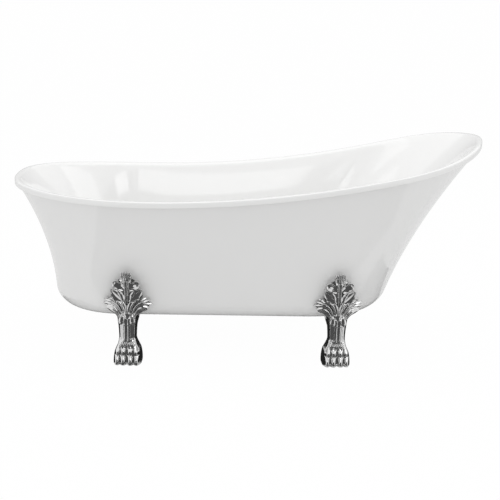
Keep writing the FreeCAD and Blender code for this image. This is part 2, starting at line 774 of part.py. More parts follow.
# ---------------------------------------------------------------- waste
seat_z = basin_floor_z - waste_recess
plate_z = seat_z + gasket_upper_thickness
spot_z = basin_under_z + waste_spot
tee_top = spot_z - gasket_lower_thickness
tee_bottom = tee_top - tee_length
plate_top = plate_z + waste_flange_thickness
stem_inner = waste_stem_radius - waste_stem_wall
hub_radius = cartridge_radius + 3.0
seal_z = plate_top + gap
cap_z = seal_z + seal_thickness
socket_inner = tail_radius + 0.1
socket_outer = socket_inner + tail_socket_wall
socket_bottom = tee_bottom - tail_socket_length
slip_nut_bottom = socket_bottom - slip_washer_height - slip_nut_floor
inlet_z = tee_bottom + pipe_radius + pipe_wall + 4.0
inlet_inner = pipe_radius + 0.1
inlet_outer = inlet_inner + pipe_socket_wall


def at_waste(z):
    return V(waste_x, 0, z)


def spin(points):
    """Solid turned about the waste's axis from a profile of radius and height."""
    profile = Part.makePolygon([V(waste_x + r, 0, z) for r, z in points + [points[0]]])
    return Part.Face(profile).revolve(at_waste(0), UP, 360)


def make_waste_flange():
    """Flange with its threaded stem, and the spoked hub that holds the plug's cartridge."""
    bottom = plate_z - waste_stem_length
    body = spin([(stem_inner, bottom), (waste_stem_radius, bottom), (waste_stem_radius, plate_z),
                 (waste_flange_radius, plate_z), (waste_flange_radius, plate_z + 1.0),
                 (waste_flange_radius - 2.0, plate_top), (stem_inner + 2.0, plate_top),
                 (stem_inner, plate_z + 1.0)])
    hub_bottom = bottom + 4.0
    hub = cylinder(hub_radius, spoke_height, at_waste(hub_bottom))
    spokes = []
    for turn in (0, 120, 240):
        spoke = Part.makeBox(stem_inner + 1.0, spoke_width, spoke_height, V(0, -spoke_width / 2, hub_bottom))
        spoke.rotate(V(0, 0, 0), UP, turn)
        spoke.translate(at_waste(0))
        spokes.append(spoke)
    return body.fuse([hub] + spokes).cut(cylinder(cartridge_radius, 30.0, at_waste(hub_bottom - 5)))


def make_cartridge():
    """Sealed push-up cartridge, which holds its own spring and latch."""
    bottom = plate_z - waste_stem_length
    barrel = cylinder(cartridge_radius, cartridge_height, at_waste(bottom + 1.0))
    shoulder = cylinder(hub_radius, 2.0, at_waste(bottom + 4.0 + spoke_height))
    return barrel.fuse(shoulder).cut(cylinder(stem_radius + thread_clearance, 60.0, at_waste(bottom - 10)))


def make_plug_cap():
    """Mushroom cap of the plug, slightly crowned."""
    top = cap_z + cap_thickness
    return spin([(0, cap_z), (cap_radius, cap_z), (cap_radius, top - 2.0), (cap_radius - 1.5, top - 0.5),
                 (cap_radius / 2, top + 0.7 * cap_crown), (0, top + cap_crown)])


def make_plug_stem():
    """Rod under the cap that slides in the cartridge."""
    return cylinder(stem_radius, stem_length, at_waste(cap_z - stem_length))


def make_plug_seal():
    inner = cap_radius - 2.0 - seal_width
    return tube(inner + seal_width, inner, seal_thickness, at_waste(seal_z))


def make_waste_body():
    """Tee under the bath: takes the flange's stem, the overflow's pipe and the tail pipe."""
    bore = waste_stem_radius + 0.1
    body = spin([(bore, tee_top), (gasket_radius, tee_top), (gasket_radius, tee_top - tee_flange_thickness),
                 (tee_radius, tee_top - tee_flange_thickness), (tee_radius, tee_bottom),
                 (socket_outer, tee_bottom), (socket_outer, socket_bottom), (socket_inner, socket_bottom),
                 (socket_inner, tee_bottom - 4.0), (tail_radius - tail_wall, tee_bottom - 4.0),
                 (tail_radius - tail_wall, tee_bottom + 4.0), (bore, tee_bottom + 4.0)])
    toward = V(-1, 0, 0)
    branch = cylinder(inlet_outer, tee_radius + tee_inlet_reach, at_waste(inlet_z), toward)
    branch = branch.cut(cylinder(bore, tee_length, at_waste(tee_bottom)))
    passage = cylinder(pipe_radius - pipe_wall, tee_radius + tee_inlet_reach, at_waste(inlet_z), toward)
    socket = cylinder(inlet_inner, pipe_socket_length,
                      at_waste(inlet_z) - V(tee_radius + tee_inlet_reach - pipe_socket_length, 0, 0), toward)
    return body.fuse(branch).cut([passage, socket])


def make_tailpiece():
    """Tail pipe, pushed up into the tee, with a rolled bead above its plain lower end."""
    inner = tail_radius - tail_wall
    bead_top = slip_nut_bottom - gap
    bead_bottom = bead_top - bead_height
    bottom = bead_bottom - tail_free_length
    top = tee_bottom - 4.0
    return spin([(inner, bottom), (tail_radius, bottom), (tail_radius, bead_bottom),
                 (tail_radius + bead_rise, bead_bottom + 1.0), (tail_radius + bead_rise, bead_top - 1.0),
                 (tail_radius, bead_top), (tail_radius, top), (inner, top)])


def make_slip_nut():
    """Nut that squeezes the slip washer between the tee's socket and the tail pipe."""
    ring = hexagon(socket_outer + slip_nut_wall, slip_nut_height, at_waste(slip_nut_bottom))
    lower = cylinder(tail_radius + 0.2, slip_nut_height, at_waste(slip_nut_bottom))
    upper = cylinder(socket_outer, slip_nut_height, at_waste(slip_nut_bottom + slip_nut_floor))
    return ring.cut([lower, upper])


def make_slip_washer():
    return tube(socket_outer - 0.2, tail_radius, slip_washer_height, at_waste(socket_bottom - slip_washer_height))


# ---------------------------------------------------------------- overflow
foot_station = len(rim_outline) // 2
overflow_z = rim_height(foot_tip) - overflow_drop


def wall_line(bowl, z):
    """Place of a bowl's wall on the centreline at the foot end, and its slope x over z there."""
    line = [ring[foot_station] for ring in bowl.rings()]
    for low, high in zip(line, line[1:]):
        slope = (high.x - low.x) / (high.z - low.z)
        if z <= high.z:
            break
    return low.x + slope * (z - low.z), slope


face_x, face_slope = wall_line(inner_bowl, overflow_z)
overflow_centre = V(face_x, 0, overflow_z)
overflow_axis = V(1, 0, -face_slope).normalize()


def back_seat():
    """Middle and axis of the flat seat behind the wall, which spans the elbow's flange."""
    low_z = overflow_z - overflow_flange_radius
    high_z = overflow_z + overflow_flange_radius
    low_x = wall_line(hidden_bowl, low_z)[0]
    slope = (wall_line(hidden_bowl, high_z)[0] - low_x) / (high_z - low_z)
    seat_x = low_x + slope * overflow_flange_radius
    depth = (face_x - seat_x) / (overflow_axis.x - overflow_axis.z * slope) - overflow_spot
    return overflow_centre - overflow_axis * depth, V(1, 0, -slope).normalize()


behind, behind_axis = back_seat()
can_middle = behind - behind_axis * (overflow_gasket_thickness + overflow_flange_thickness
                                     + 0.45 * overflow_can_depth)


def between_skins(z):
    """Middle of the space between the two skins at the foot end."""
    return (wall_line(hidden_bowl, z)[0] + wall_line(lining_bowl, z)[0]) / 2


pipe_bend_z = overflow_z - pipe_bend_drop
pipe_upper = V(between_skins(pipe_bend_z), 0, pipe_bend_z)
pipe_lower = V(foot_tip + skirt_foot_setback + pipe_corner_setback, 0, inlet_z)
outlet_axis = (pipe_upper - can_middle).normalize()
outlet_start = can_middle + outlet_axis * (overflow_can_radius + 2.0)


def make_overflow_cover():
    """Domed cover inside the bath, with slots under its edge for the water."""
    base = overflow_centre
    disc = cylinder(overflow_cover_radius, overflow_cover_height, base, overflow_axis)
    front_edge = max(disc.Edges, key=lambda edge: (edge.CenterOfMass - base).dot(overflow_axis))
    disc = disc.makeChamfer(2.0, [front_edge])
    hollow = cylinder(overflow_cover_radius - 3.0, overflow_cover_height - 2.0, base, overflow_axis)
    screw_hole = cylinder(overflow_screw_radius + 0.2, 20.0, base, overflow_axis)
    boss = tube(overflow_screw_radius + 3.0, overflow_screw_radius + 0.2, overflow_cover_height - 2.0,
                base, overflow_axis)
    cuts = [hollow, screw_hole]
    for turn in (-50, 0, 50):
        slot = Part.makeBox(10.0, 8.0, overflow_cover_height - 3.0, V(-overflow_cover_radius - 4.0, -4.0, 0))
        slot.rotate(V(0, 0, 0), UP, turn)
        slot.rotate(V(0, 0, 0), V(0, 1, 0), math.degrees(math.atan2(overflow_axis.x, overflow_axis.z)))
        slot.translate(base)
        cuts.append(slot)
    return disc.cut(cuts).fuse(boss).cut(make_basin())


def make_overflow_screw():
    """Screw through the cover into the bridge of the elbow."""
    head = cylinder(2 * overflow_screw_radius, 2.0, overflow_centre + overflow_axis * overflow_cover_height,
                    overflow_axis)
    start = can_middle
    length = (overflow_centre + overflow_axis * overflow_cover_height - start).Length
    return head.fuse(cylinder(overflow_screw_radius, length, overflow_centre
                              + overflow_axis * (overflow_cover_height - length), overflow_axis))


def make_overflow_gasket():
    return tube(overflow_flange_radius, overflow_hole_radius, overflow_gasket_thickness,
                behind, behind_axis * -1)


def make_overflow_elbow():
    """Moulded elbow behind the wall: flange, shallow can, bridge for the screw and outlet socket."""
    start = behind - behind_axis * overflow_gasket_thickness
    back = behind_axis * -1
    can_inner = overflow_can_radius - overflow_wall
    body = cylinder(overflow_flange_radius, overflow_flange_thickness, start, back)
    body = body.fuse(cylinder(overflow_can_radius, overflow_flange_thickness + overflow_can_depth, start, back))
    neck = cylinder(pipe_radius + pipe_socket_wall, overflow_can_radius + 2.0 + pipe_socket_length,
                    can_middle, outlet_axis)
    body = body.fuse(neck).cut(cylinder(2 * overflow_flange_radius, overflow_flange_radius, start, behind_axis))
    cavity = cylinder(can_inner, overflow_flange_thickness + overflow_can_depth - overflow_wall, start, back)
    passage = cylinder(pipe_radius - pipe_wall, 60.0, can_middle, outlet_axis)
    socket = cylinder(pipe_radius + 0.1, 40.0, outlet_start, outlet_axis)
    body = body.cut([cavity, passage, socket])
    bridge = Part.makeBox(8.0, 2 * can_inner + 2.0, 4.0, V(-4.0, -can_inner - 1.0, -2.0))
    bridge.rotate(V(0, 0, 0), V(0, 1, 0), math.degrees(math.atan2(behind_axis.x, behind_axis.z)))
    bridge.translate(start - behind_axis * (overflow_flange_thickness + 2.0))
    screw = cylinder(overflow_screw_radius, 60.0, overflow_centre, overflow_axis * -1)
    return body.fuse(bridge).cut(screw)


def pipe_path():
    """Centreline of the overflow pipe: three straight runs joined by tangent arcs."""
    end = at_waste(inlet_z) - V(tee_radius + tee_inlet_reach - pipe_socket_length, 0, 0)
    corners = [outlet_start, pipe_upper, pipe_lower, end]
    edges = []
    here = corners[0]
    for i, radius in ((1, pipe_upper_bend_radius), (2, pipe_bend_radius)):
        into = (corners[i] - corners[i - 1]).normalize()
        out = (corners[i + 1] - corners[i]).normalize()
        turn = into.getAngle(out)
        trim = radius * math.tan(turn / 2)
        start = corners[i] - into * trim
        stop = corners[i] + out * trim
        towards = (out - into).normalize()
        middle = corners[i] + towards * (radius / math.cos(turn / 2) - radius)
        edges.append(Part.LineSegment(here, start).toShape())
        edges.append(Part.Arc(start, middle, stop).toShape())
        here = stop
    edges.append(Part.LineSegment(here, end).toShape())
    return Part.Wire(edges)


def make_overflow_pipe():
    """Bent plastic pipe down between the skins and under the bath's floor to the tee."""
    path = pipe_path()
    solids = []
    for radius in (pipe_radius, pipe_radius - pipe_wall):
        ring = Part.Wire(Part.makeCircle(radius, outlet_start, outlet_axis))
        solids.append(path.makePipeShell([ring], True, False))
    return solids[0].cut(solids[1])


# ---------------------------------------------------------------- holes in the shells
def finish_basin():
    """Bath with its overflow hole, waste hole and the flat seats round the waste."""
    cuts = [cylinder(waste_stem_radius + waste_hole_clearance, 60.0, at_waste(basin_under_z - 20)),
            cylinder(waste_flange_radius + 1.0, 20.0, at_waste(seat_z)),
            cylinder(gasket_radius + 1.0, 20.0, at_waste(spot_z - 20.0)),
            cylinder(overflow_hole_radius, 60.0, overflow_centre - overflow_axis * 30.0, overflow_axis),
            cylinder(overflow_flange_radius + 1.0, 20.0, behind, behind_axis * -1)]
    return make_basin().cut(cuts)


def finish_skirt():
    """Outer skin with the bolt holes and the opening round the waste."""
    cuts = [cylinder(bolt_radius + bolt_clearance, 3 * skirt_wall, place + V(0, 0, ground_clearance - skirt_wall))
            for place in all_bolt_places()]
    cuts.append(cylinder(access_radius, 3 * skirt_wall, at_waste(ground_clearance - skirt_wall)))
    return make_skirt().cut(cuts)


# ---------------------------------------------------------------- write every sub-part
save("basin", finish_basin())
save("outer_skirt", finish_skirt())
save("floor_board", make_board())
save("bearer_foot_end", make_bearer(foot_x))
save("bearer_head_end", make_bearer(head_foot_x))

casting = make_casting()
for name, place, turn in feet_places():
    save("foot_" + name, put(make_foot(casting, place, turn), place, turn))
    save("leveller_screw_" + name, put(make_leveller_screw(), place, turn))
    save("leveller_pad_" + name, put(make_leveller_pad(), place, turn))
save("leveller_nuts", Part.makeCompound([put(make_lock_nut(), place, turn) for name, place, turn in feet_places()]))
save("foot_bolts", Part.makeCompound([make_bolt(place) for place in all_bolt_places()]))
save("foot_washers", Part.makeCompound([make_washer(place) for place in all_bolt_places()]))
save("t_nuts", Part.makeCompound([make_tee_nut(place) for place in all_bolt_places()]))

save("waste_flange", make_waste_flange())
save("waste_gasket_upper", tube(gasket_radius, waste_stem_radius, gasket_upper_thickness, at_waste(seat_z)))
save("waste_gasket_lower", tube(gasket_radius, waste_stem_radius, gasket_lower_thickness, at_waste(tee_top)))
save("waste_body", make_waste_body())
save("plug_cartridge", make_cartridge())
save("plug_cap", make_plug_cap())
save("plug_seal", make_plug_seal())
save("plug_stem", make_plug_stem())
save("tailpiece", make_tailpiece())
save("slip_nut", make_slip_nut())
save("slip_washer", make_slip_washer())

save("overflow_cover", make_overflow_cover())
save("overflow_screw", make_overflow_screw())
save("overflow_gasket", make_overflow_gasket())
save("overflow_elbow", make_overflow_elbow())
save("overflow_pipe", make_overflow_pipe())
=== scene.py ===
import math

import bmesh
import bpy
from mathutils import Matrix, Quaternion, Vector


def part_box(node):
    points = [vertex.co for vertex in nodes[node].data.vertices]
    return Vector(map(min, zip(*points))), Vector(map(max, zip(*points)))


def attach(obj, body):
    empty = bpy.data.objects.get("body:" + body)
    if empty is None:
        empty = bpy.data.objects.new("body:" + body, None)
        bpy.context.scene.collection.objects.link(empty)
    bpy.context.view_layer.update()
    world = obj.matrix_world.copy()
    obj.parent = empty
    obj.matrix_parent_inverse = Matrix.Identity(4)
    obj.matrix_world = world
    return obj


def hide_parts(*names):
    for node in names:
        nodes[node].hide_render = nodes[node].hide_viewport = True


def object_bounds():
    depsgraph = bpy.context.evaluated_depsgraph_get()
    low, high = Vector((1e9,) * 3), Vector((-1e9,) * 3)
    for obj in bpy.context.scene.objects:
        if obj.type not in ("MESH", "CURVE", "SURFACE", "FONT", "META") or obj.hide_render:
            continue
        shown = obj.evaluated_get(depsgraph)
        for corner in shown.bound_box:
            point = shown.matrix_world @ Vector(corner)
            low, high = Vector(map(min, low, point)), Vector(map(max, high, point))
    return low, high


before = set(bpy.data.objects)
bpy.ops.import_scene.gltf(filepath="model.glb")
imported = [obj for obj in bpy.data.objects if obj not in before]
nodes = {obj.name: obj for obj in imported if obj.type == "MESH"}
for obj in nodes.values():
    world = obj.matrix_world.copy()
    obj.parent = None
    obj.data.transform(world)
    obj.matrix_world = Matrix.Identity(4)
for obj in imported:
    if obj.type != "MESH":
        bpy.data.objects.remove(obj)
cad_low, cad_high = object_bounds()

# ---------------------------------------------------------------- the camera
# It stands four metres in front of the bath, looks down on it a little and is rolled by a
# degree, as the photograph was taken. Its lens and shift give the photograph's frame.
scene = bpy.context.scene
aim = Vector((0.0, 0.0, 0.376))
camera_distance = 4.0
camera_elevation = math.radians(14.135)
camera_azimuth = math.radians(-1.5)
camera_roll = math.radians(1.279)
frame_px = 500.0
focal_px = 1065.676
centre_px = (247.01, 238.12)
sensor_width = 36.0
view_end = 200.0

back = Vector((math.sin(camera_azimuth) * math.cos(camera_elevation),
               -math.cos(camera_azimuth) * math.cos(camera_elevation),
               math.sin(camera_elevation)))
camera = bpy.data.objects.new("camera", bpy.data.cameras.new("camera"))
scene.collection.objects.link(camera)
camera.data.sensor_width = sensor_width
camera.data.lens = sensor_width * focal_px / frame_px
camera.data.shift_x = (frame_px / 2 - centre_px[0]) / frame_px
camera.data.shift_y = (centre_px[1] - frame_px / 2) / frame_px
camera.location = aim + back * camera_distance
camera.rotation_mode = "QUATERNION"
camera.rotation_quaternion = (-back).to_track_quat("-Z", "Y") @ Quaternion((0, 0, 1), camera_roll)
camera.data.clip_end = view_end
scene.camera = camera

# ---------------------------------------------------------------- the studio
# A white floor, a sky of even light and one large softbox overhead. Bright windows and dark cards
# stand and lie round the bath, and are seen only in its gloss and in the chrome.
scene.view_settings.view_transform = "Standard"
sky_level = 0.82
floor_half, floor_glow = 60.0, 0.98
card_wall, card_foot = 5.0, -0.2
window_sill, window_head = 2.68, 3.52
card_height = 0.001
dark_card, under_tub_shade_level = 0.09, 0.02


def node_tree(block):
    """Node tree of a material or world, emptied."""
    block.use_nodes = True
    tree = block.node_tree
    tree.nodes.clear()
    return tree


def add(tree, kind, inputs=None, **settings):
    """New node with settings; an input that is a node's socket is linked, any other is set."""
    node = tree.nodes.new(kind)
    for key, value in settings.items():
        setattr(node, key, value)
    for key, value in (inputs or {}).items():
        if isinstance(value, bpy.types.NodeSocket):
            tree.links.new(value, node.inputs[key])
        else:
            node.inputs[key].default_value = value
    return node


def grey(level):
    """Neutral colour of one level."""
    return (level, level, level, 1.0)


world = bpy.data.worlds.new("studio")
scene.world = world
tree = node_tree(world)
path = add(tree, "ShaderNodeLightPath")
seen = add(tree, "ShaderNodeMath", {0: path.outputs["Is Camera Ray"], 1: path.outputs["Is Glossy Ray"]},
           operation="MAXIMUM")
seen = add(tree, "ShaderNodeMath", {0: seen.outputs[0], 1: path.outputs["Is Transmission Ray"]},
           operation="MAXIMUM")
lit = add(tree, "ShaderNodeBackground", {"Color": grey(1.0), "Strength": sky_level})
shown = add(tree, "ShaderNodeBackground", {"Color": grey(1.0), "Strength": 1.0})
both = add(tree, "ShaderNodeMixShader", {0: seen.outputs[0], 1: lit.outputs[0], 2: shown.outputs[0]})
add(tree, "ShaderNodeOutputWorld", {"Surface": both.outputs[0]})


def mesh_object(name, verts, faces, smooth=True):
    """New mesh object in the scene from points and faces."""
    mesh = bpy.data.meshes.new(name)
    mesh.from_pydata([tuple(v) for v in verts], [], faces)
    mesh.validate()
    mesh.update()
    for polygon in mesh.polygons:
        polygon.use_smooth = smooth
    piece = bpy.data.objects.new(name, mesh)
    scene.collection.objects.link(piece)
    return piece


floor_white = bpy.data.materials.new("floor_white")
tree = node_tree(floor_white)
path = add(tree, "ShaderNodeLightPath")
painted = add(tree, "ShaderNodeBsdfDiffuse", {"Color": grey(0.9)})
glow = add(tree, "ShaderNodeEmission", {"Color": grey(1.0), "Strength": 1.0})
share = add(tree, "ShaderNodeMath", {0: path.outputs["Is Camera Ray"], 1: floor_glow}, operation="MULTIPLY")
surface = add(tree, "ShaderNodeMixShader", {0: share.outputs[0], 1: painted.outputs[0], 2: glow.outputs[0]})
add(tree, "ShaderNodeOutputMaterial", {"Surface": surface.outputs[0]})
floor = mesh_object("floor", [(-floor_half, -floor_half, 0), (floor_half, -floor_half, 0),
                              (floor_half, floor_half, 0), (-floor_half, floor_half, 0)], [(0, 1, 2, 3)])
floor.data.materials.append(floor_white)


def softbox(name, place, target, width, height, power):
    """Rectangular lamp at a place, turned to face a target."""
    lamp = bpy.data.lights.new(name, "AREA")
    lamp.shape = "RECTANGLE"
    lamp.size = width
    lamp.size_y = height
    lamp.energy = power
    holder = bpy.data.objects.new(name, lamp)
    holder.location = place
    holder.rotation_euler = (Vector(target) - Vector(place)).to_track_quat("-Z", "Y").to_euler()
    scene.collection.objects.link(holder)
    return holder


softbox("overhead_softbox", (0.0, -0.3, 3.4), (0.0, 0.0, 0.4), 3.6, 2.4, 29.0)


def card(name, low, high, level):
    """Flat card that only reflections see, upright or lying, between two opposite corners."""
    if low[2] == high[2]:
        second, fourth = (high[0], low[1], low[2]), (low[0], high[1], low[2])
    else:
        second, fourth = (high[0], high[1], low[2]), (low[0], low[1], high[2])
    sheet = mesh_object(name, [low, second, high, fourth], [(0, 1, 2, 3)])
    paint = bpy.data.materials.new(name)
    tree = node_tree(paint)
    glow = add(tree, "ShaderNodeEmission", {"Color": grey(level), "Strength": 1.0})
    add(tree, "ShaderNodeOutputMaterial", {"Surface": glow.outputs[0]})
    sheet.data.materials.append(paint)
    sheet.visible_camera = False
    sheet.visible_diffuse = False
    sheet.visible_shadow = False
    sheet.visible_transmission = False


def front_card(name, left, right, low, high, level):
    """Upright card on the wall in front of the bath."""
    card(name, (left, -card_wall, low), (right, -card_wall, high), level)


def floor_card(name, left, right, near, far, level):
    """Card that lies just over the floor."""
    card(name, (left, near, card_height), (right, far, card_height), level)


# in front: a dark wall whose windows show as bright patches on the bath's far side
behind_windows = -card_wall - 0.01
card("front_flag", (-5.4, behind_windows, card_foot), (5.4, behind_windows, window_head), dark_card)
front_card("front_window", -0.95, 0.18, window_sill, window_head, 2.4)
front_card("window_bar", 0.37, 0.43, window_sill, window_head, 1.6)
front_card("front_window_right", 0.8, 1.85, window_sill, window_head, 3.0)
front_card("valance", -4.6, 4.6, window_head, 4.9, 0.85)
# at the sides and behind
card("side_window", (card_wall, -4.9, 3.3), (card_wall, 0.5, 5.6), 2.5)
card("small_window", (-card_wall, -1.2, 5.0), (-card_wall, 2.7, 5.9), 1.9)
card("back_flag", (-4.6, card_wall, card_foot), (4.6, card_wall, 3.0), 0.5)
# on the floor: the darks of the chrome and of the tub's lower edge
floor_card("floor_flag", -1.0, 0.95, -card_wall, -0.64, dark_card)
floor_card("near_floor_flag", -0.56, 0.46, -0.64, -0.37, dark_card)
# under the tub: a near-black card, painted shade that the chrome's inner sides show in reflection
floor_card("under_tub_shade_card", -0.9, 0.9, -0.34, 0.18, under_tub_shade_level)

# ---------------------------------------------------------------- the inner bath
# One vacuum-formed sheet of white acrylic, reinforced behind: floor, reclining walls, a soft
# shoulder, a thin rolled rim and a turned-down lip that covers the top of the outer skin.
mm = 0.001
tub_half = cad_high.y
foot_tip, head_tip = cad_low.x, cad_high.x
rim_low_z, rim_low_x = 590 * mm, -358 * mm
rim_foot_rise, rim_head_rise = 23 * mm, 187 * mm
rim_foot_end, rim_foot_power = 545 * mm, 2.45
rim_head_end, rim_head_power, rim_head_tip_power = 369 * mm, 2.4, 1.87
lip_height, lip_radius, lip_edge = 21 * mm, 5.5 * mm, 1.5 * mm
rim_flat, shoulder_radius = 2.5 * mm, 20 * mm
basin_lip_wall = 20.5 * mm
basin_wall = 8 * mm
floor_z, under_z = 216 * mm, 208 * mm
waste_x = -512 * mm
floor_fall = 7 * mm / (315 * mm - waste_x)
basin_foot_in, basin_head_in, basin_side_in = 200 * mm, 398 * mm, 123 * mm
basin_foot_end, basin_head_end, basin_power = 230 * mm, 250 * mm, 2.2
basin_radius = 95 * mm
basin_flares = (0.0, 0.57, 0.6)
overflow_centre, overflow_axis = Vector((-733.67, 0, 481.0)) * mm, Vector((0.838, 0, 0.546)).normalized()
overflow_back, overflow_back_axis = Vector((-742.65, 0, 475.15)) * mm, Vector((0.839, 0, 0.545)).normalized()
waste_bore, flange_seat, flange_sink = 24.6 * mm, 36 * mm, 3 * mm
gasket_seat, gasket_sink = 34 * mm, 0.4 * mm
overflow_bore, overflow_seat = 18 * mm, 31 * mm
cut_past, seat_past = 30 * mm, 10 * mm
end_steps, side_steps, hole_sides = 40, 24, 96


def quarter_point(angle, semi_x, semi_y, tip_power, side_power):
    """Point of a quarter superellipse whose squareness turns from its tip's to its side's."""
    power = tip_power + (side_power - tip_power) * math.sin(angle) ** 2
    return Vector((semi_x * max(0.0, math.cos(angle)) ** (2 / power),
                   semi_y * math.sin(angle) ** (2 / power), 0))


def quarter(semi_x, semi_y, tip_power, side_power):
    """Points and outward normals of a quarter outline, from its tip to its side."""
    shape = (semi_x, semi_y, tip_power, side_power)
    nudge = 1e-4
    points = [(Vector((semi_x, 0, 0)), Vector((1, 0, 0)))]
    for i in range(1, end_steps):
        angle = math.pi / 2 * i / end_steps
        run = quarter_point(angle + nudge, *shape) - quarter_point(angle - nudge, *shape)
        points.append((quarter_point(angle, *shape), Vector((run.y, -run.x, 0)).normalized()))
    return points + [(Vector((0, semi_y, 0)), Vector((0, 1, 0)))]


def outline(foot_x, head_x, half, foot_end, head_end, foot_power, head_power, head_tip_power):
    """Stations round the tub from the head tip over +Y to the foot tip and back over -Y."""
    head_mid, foot_mid = head_x - head_end, foot_x + foot_end
    head_quarter = quarter(head_end, half, head_tip_power, head_power)
    upper = [(Vector((head_mid + p.x, p.y, 0)), n) for p, n in head_quarter]
    for i in range(1, side_steps):
        place = Vector((head_mid + (foot_mid - head_mid) * i / side_steps, half, 0))
        upper.append((place, Vector((0, 1, 0))))
    for p, n in reversed(quarter(foot_end, half, foot_power, foot_power)):
        upper.append((Vector((foot_mid - p.x, p.y, 0)), Vector((-n.x, n.y, 0))))
    lower = [(Vector((p.x, -p.y, 0)), Vector((n.x, -n.y, 0))) for p, n in reversed(upper[1:-1])]
    return upper + lower


rim_outline = outline(foot_tip, head_tip, tub_half, rim_foot_end, rim_head_end,
                      rim_foot_power, rim_head_power, rim_head_tip_power)
stations = range(len(rim_outline))


def rim_height(x):
    """Height of the rim's crest, lowest near the foot end and swept up at the head."""
    if x < rim_low_x:
        return rim_low_z + rim_foot_rise * ((rim_low_x - x) / (rim_low_x - foot_tip)) ** 2
    return rim_low_z + rim_head_rise * ((x - rim_low_x) / (head_tip - rim_low_x)) ** 2


def rim_point(k, inset, drop):
    """Point inside and under the rim's crest at a station."""
    point, normal = rim_outline[k]
    place = point - normal * inset
    return Vector((place.x, place.y, rim_height(point.x) - drop))


def rim_ring(inset, drop):
    """Ring that follows the rim's crest, inside and under it."""
    return [rim_point(k, inset, drop) for k in stations]


def floor_rise(x):
    """Height of the bath's floor above its height at the waste."""
    return floor_fall * (x - waste_x)


def wall_flare(flares, k):
    """A wall's flare at a station, blended from its end's to its side's."""
    point = rim_outline[k][0]
    sideways = min(1.0, abs(point.y) / tub_half) ** 2
    end_flare = flares[0] if point.x < 0 else flares[1]
    return end_flare * (1 - sideways) + flares[2] * sideways


def wall_point(bottom, top, flares, base, fall, radius, k, share_up):
    """Point of a flared wall with a rounded foot, at a share of its height."""
    start, normal = bottom[k]
    end = top[k]
    flare = wall_flare(flares, k)
    height = end.z - base - fall * floor_rise(start.x)
    rise = height * share_up
    over = max(0.0, radius - rise)
    inset = radius - math.sqrt(radius ** 2 - over ** 2)
    spread = flare * share_up + (1 - flare) * share_up ** 2
    place = start + (end - start) * spread - normal * inset
    return Vector((place.x, place.y, base + fall * floor_rise(place.x) + rise))


def wall_rings(bottom, top, flares, base, fall, radius, edge_steps, wall_steps):
    """Rings of a wall from its flat bottom's edge to just under its top ring."""
    rings = []
    for i in range(edge_steps):
        drop = radius * (1 - math.cos(math.pi / 2 * i / edge_steps))
        rings.append([wall_point(bottom, top, flares, base, fall, radius, k, drop / (top[k].z - base))
                      for k in stations])
    for i in range(wall_steps):
        ring = []
        for k in stations:
            low = radius / (top[k].z - base)
            share_up = low + (1 - low) * i / wall_steps
            ring.append(wall_point(bottom, top, flares, base, fall, radius, k, share_up))
        rings.append(ring)
    return rings


def flat_rings(edge, base, fall, steps):
    """Rings that fill a flat bottom inside its edge, from a small one in the middle outward."""
    centre = sum(edge, Vector()) / len(edge)
    smallest = 0.02
    rings = []
    for i in range(steps):
        share = smallest + (1 - smallest) * i / steps
        ring = []
        for p in edge:
            x, y = centre.x + (p.x - centre.x) * share, centre.y + (p.y - centre.y) * share
            ring.append(Vector((x, y, base + fall * floor_rise(x))))
        rings.append(ring)
    return rings


def ring_object(name, rings):
    """Closed surface through rings of stations, capped by a face at its first and last ring."""
    count = len(rings[0])
    verts = [p for ring in rings for p in ring]
    faces = []
    for r in range(len(rings) - 1):
        for k in range(count):
            step = (k + 1) % count
            faces.append((r * count + k, r * count + step, (r + 1) * count + step, (r + 1) * count + k))
    faces.append(tuple(reversed(range(count))))
    faces.append(tuple(range((len(rings) - 1) * count, len(rings) * count)))
    return mesh_object(name, verts, faces)


def turn_outward(piece):
    """Make every face of a closed mesh look outward."""
    work = bmesh.new()
    work.from_mesh(piece.data)
    bmesh.ops.recalc_face_normals(work, faces=work.faces)
    work.to_mesh(piece.data)
    work.free()


def grid_faces(count, rows, closed, start=0):
    """Quads of a grid of points, closed round each row or not."""
    faces = []
    for r in range(rows - 1):
        for k in range(count if closed else count - 1):
            a, b = start + r * count + k, start + r * count + (k + 1) % count
            faces.append((a, b, b + count, a + count))
    return faces


def rod(name, radius, start, stop, sides=48):
    """Closed round bar between two points, mostly a tool that cuts a hole."""
    start, stop = Vector(start), Vector(stop)
    turn = (stop - start).to_track_quat("Z", "Y")
    verts = []
    for end in (start, stop):
        for k in range(sides):
            angle = 2 * math.pi * k / sides
            verts.append(end + turn @ Vector((radius * math.cos(angle), radius * math.sin(angle), 0)))
    faces = grid_faces(sides, 2, True)
    faces += [tuple(reversed(range(sides))), tuple(range(sides, 2 * sides))]
    piece = mesh_object(name, verts, faces, smooth=False)
    turn_outward(piece)
    return piece


def bar(name, low, high):
    """Closed rectangular block between two opposite corners."""
    verts = [(x, y, z) for z in (low[2], high[2]) for x, y in ((low[0], low[1]), (high[0], low[1]),
                                                                (high[0], high[1]), (low[0], high[1]))]
    piece = mesh_object(name, verts, grid_faces(4, 2, True) + [(3, 2, 1, 0), (4, 5, 6, 7)], smooth=False)
    turn_outward(piece)
    return piece


def carve(piece, tools, mode="DIFFERENCE"):
    """Cut tools out of a piece, or join them to it, one after another, and remove them."""
    for tool in tools:
        cut = piece.modifiers.new("carve", "BOOLEAN")
        cut.operation = mode
        cut.solver = "MANIFOLD"
        cut.object = tool
        bpy.context.view_layer.update()
        done = bpy.data.meshes.new_from_object(piece.evaluated_get(bpy.context.evaluated_depsgraph_get()))
        done.materials.clear()
        piece.modifiers.clear()
        piece.data = done
        bpy.data.objects.remove(tool)


def keep_edges(piece, degrees):
    """Shade a piece smooth except over edges sharper than an angle."""
    for polygon in piece.data.polygons:
        polygon.use_smooth = True
    piece.data.set_sharp_from_angle(angle=math.radians(degrees))


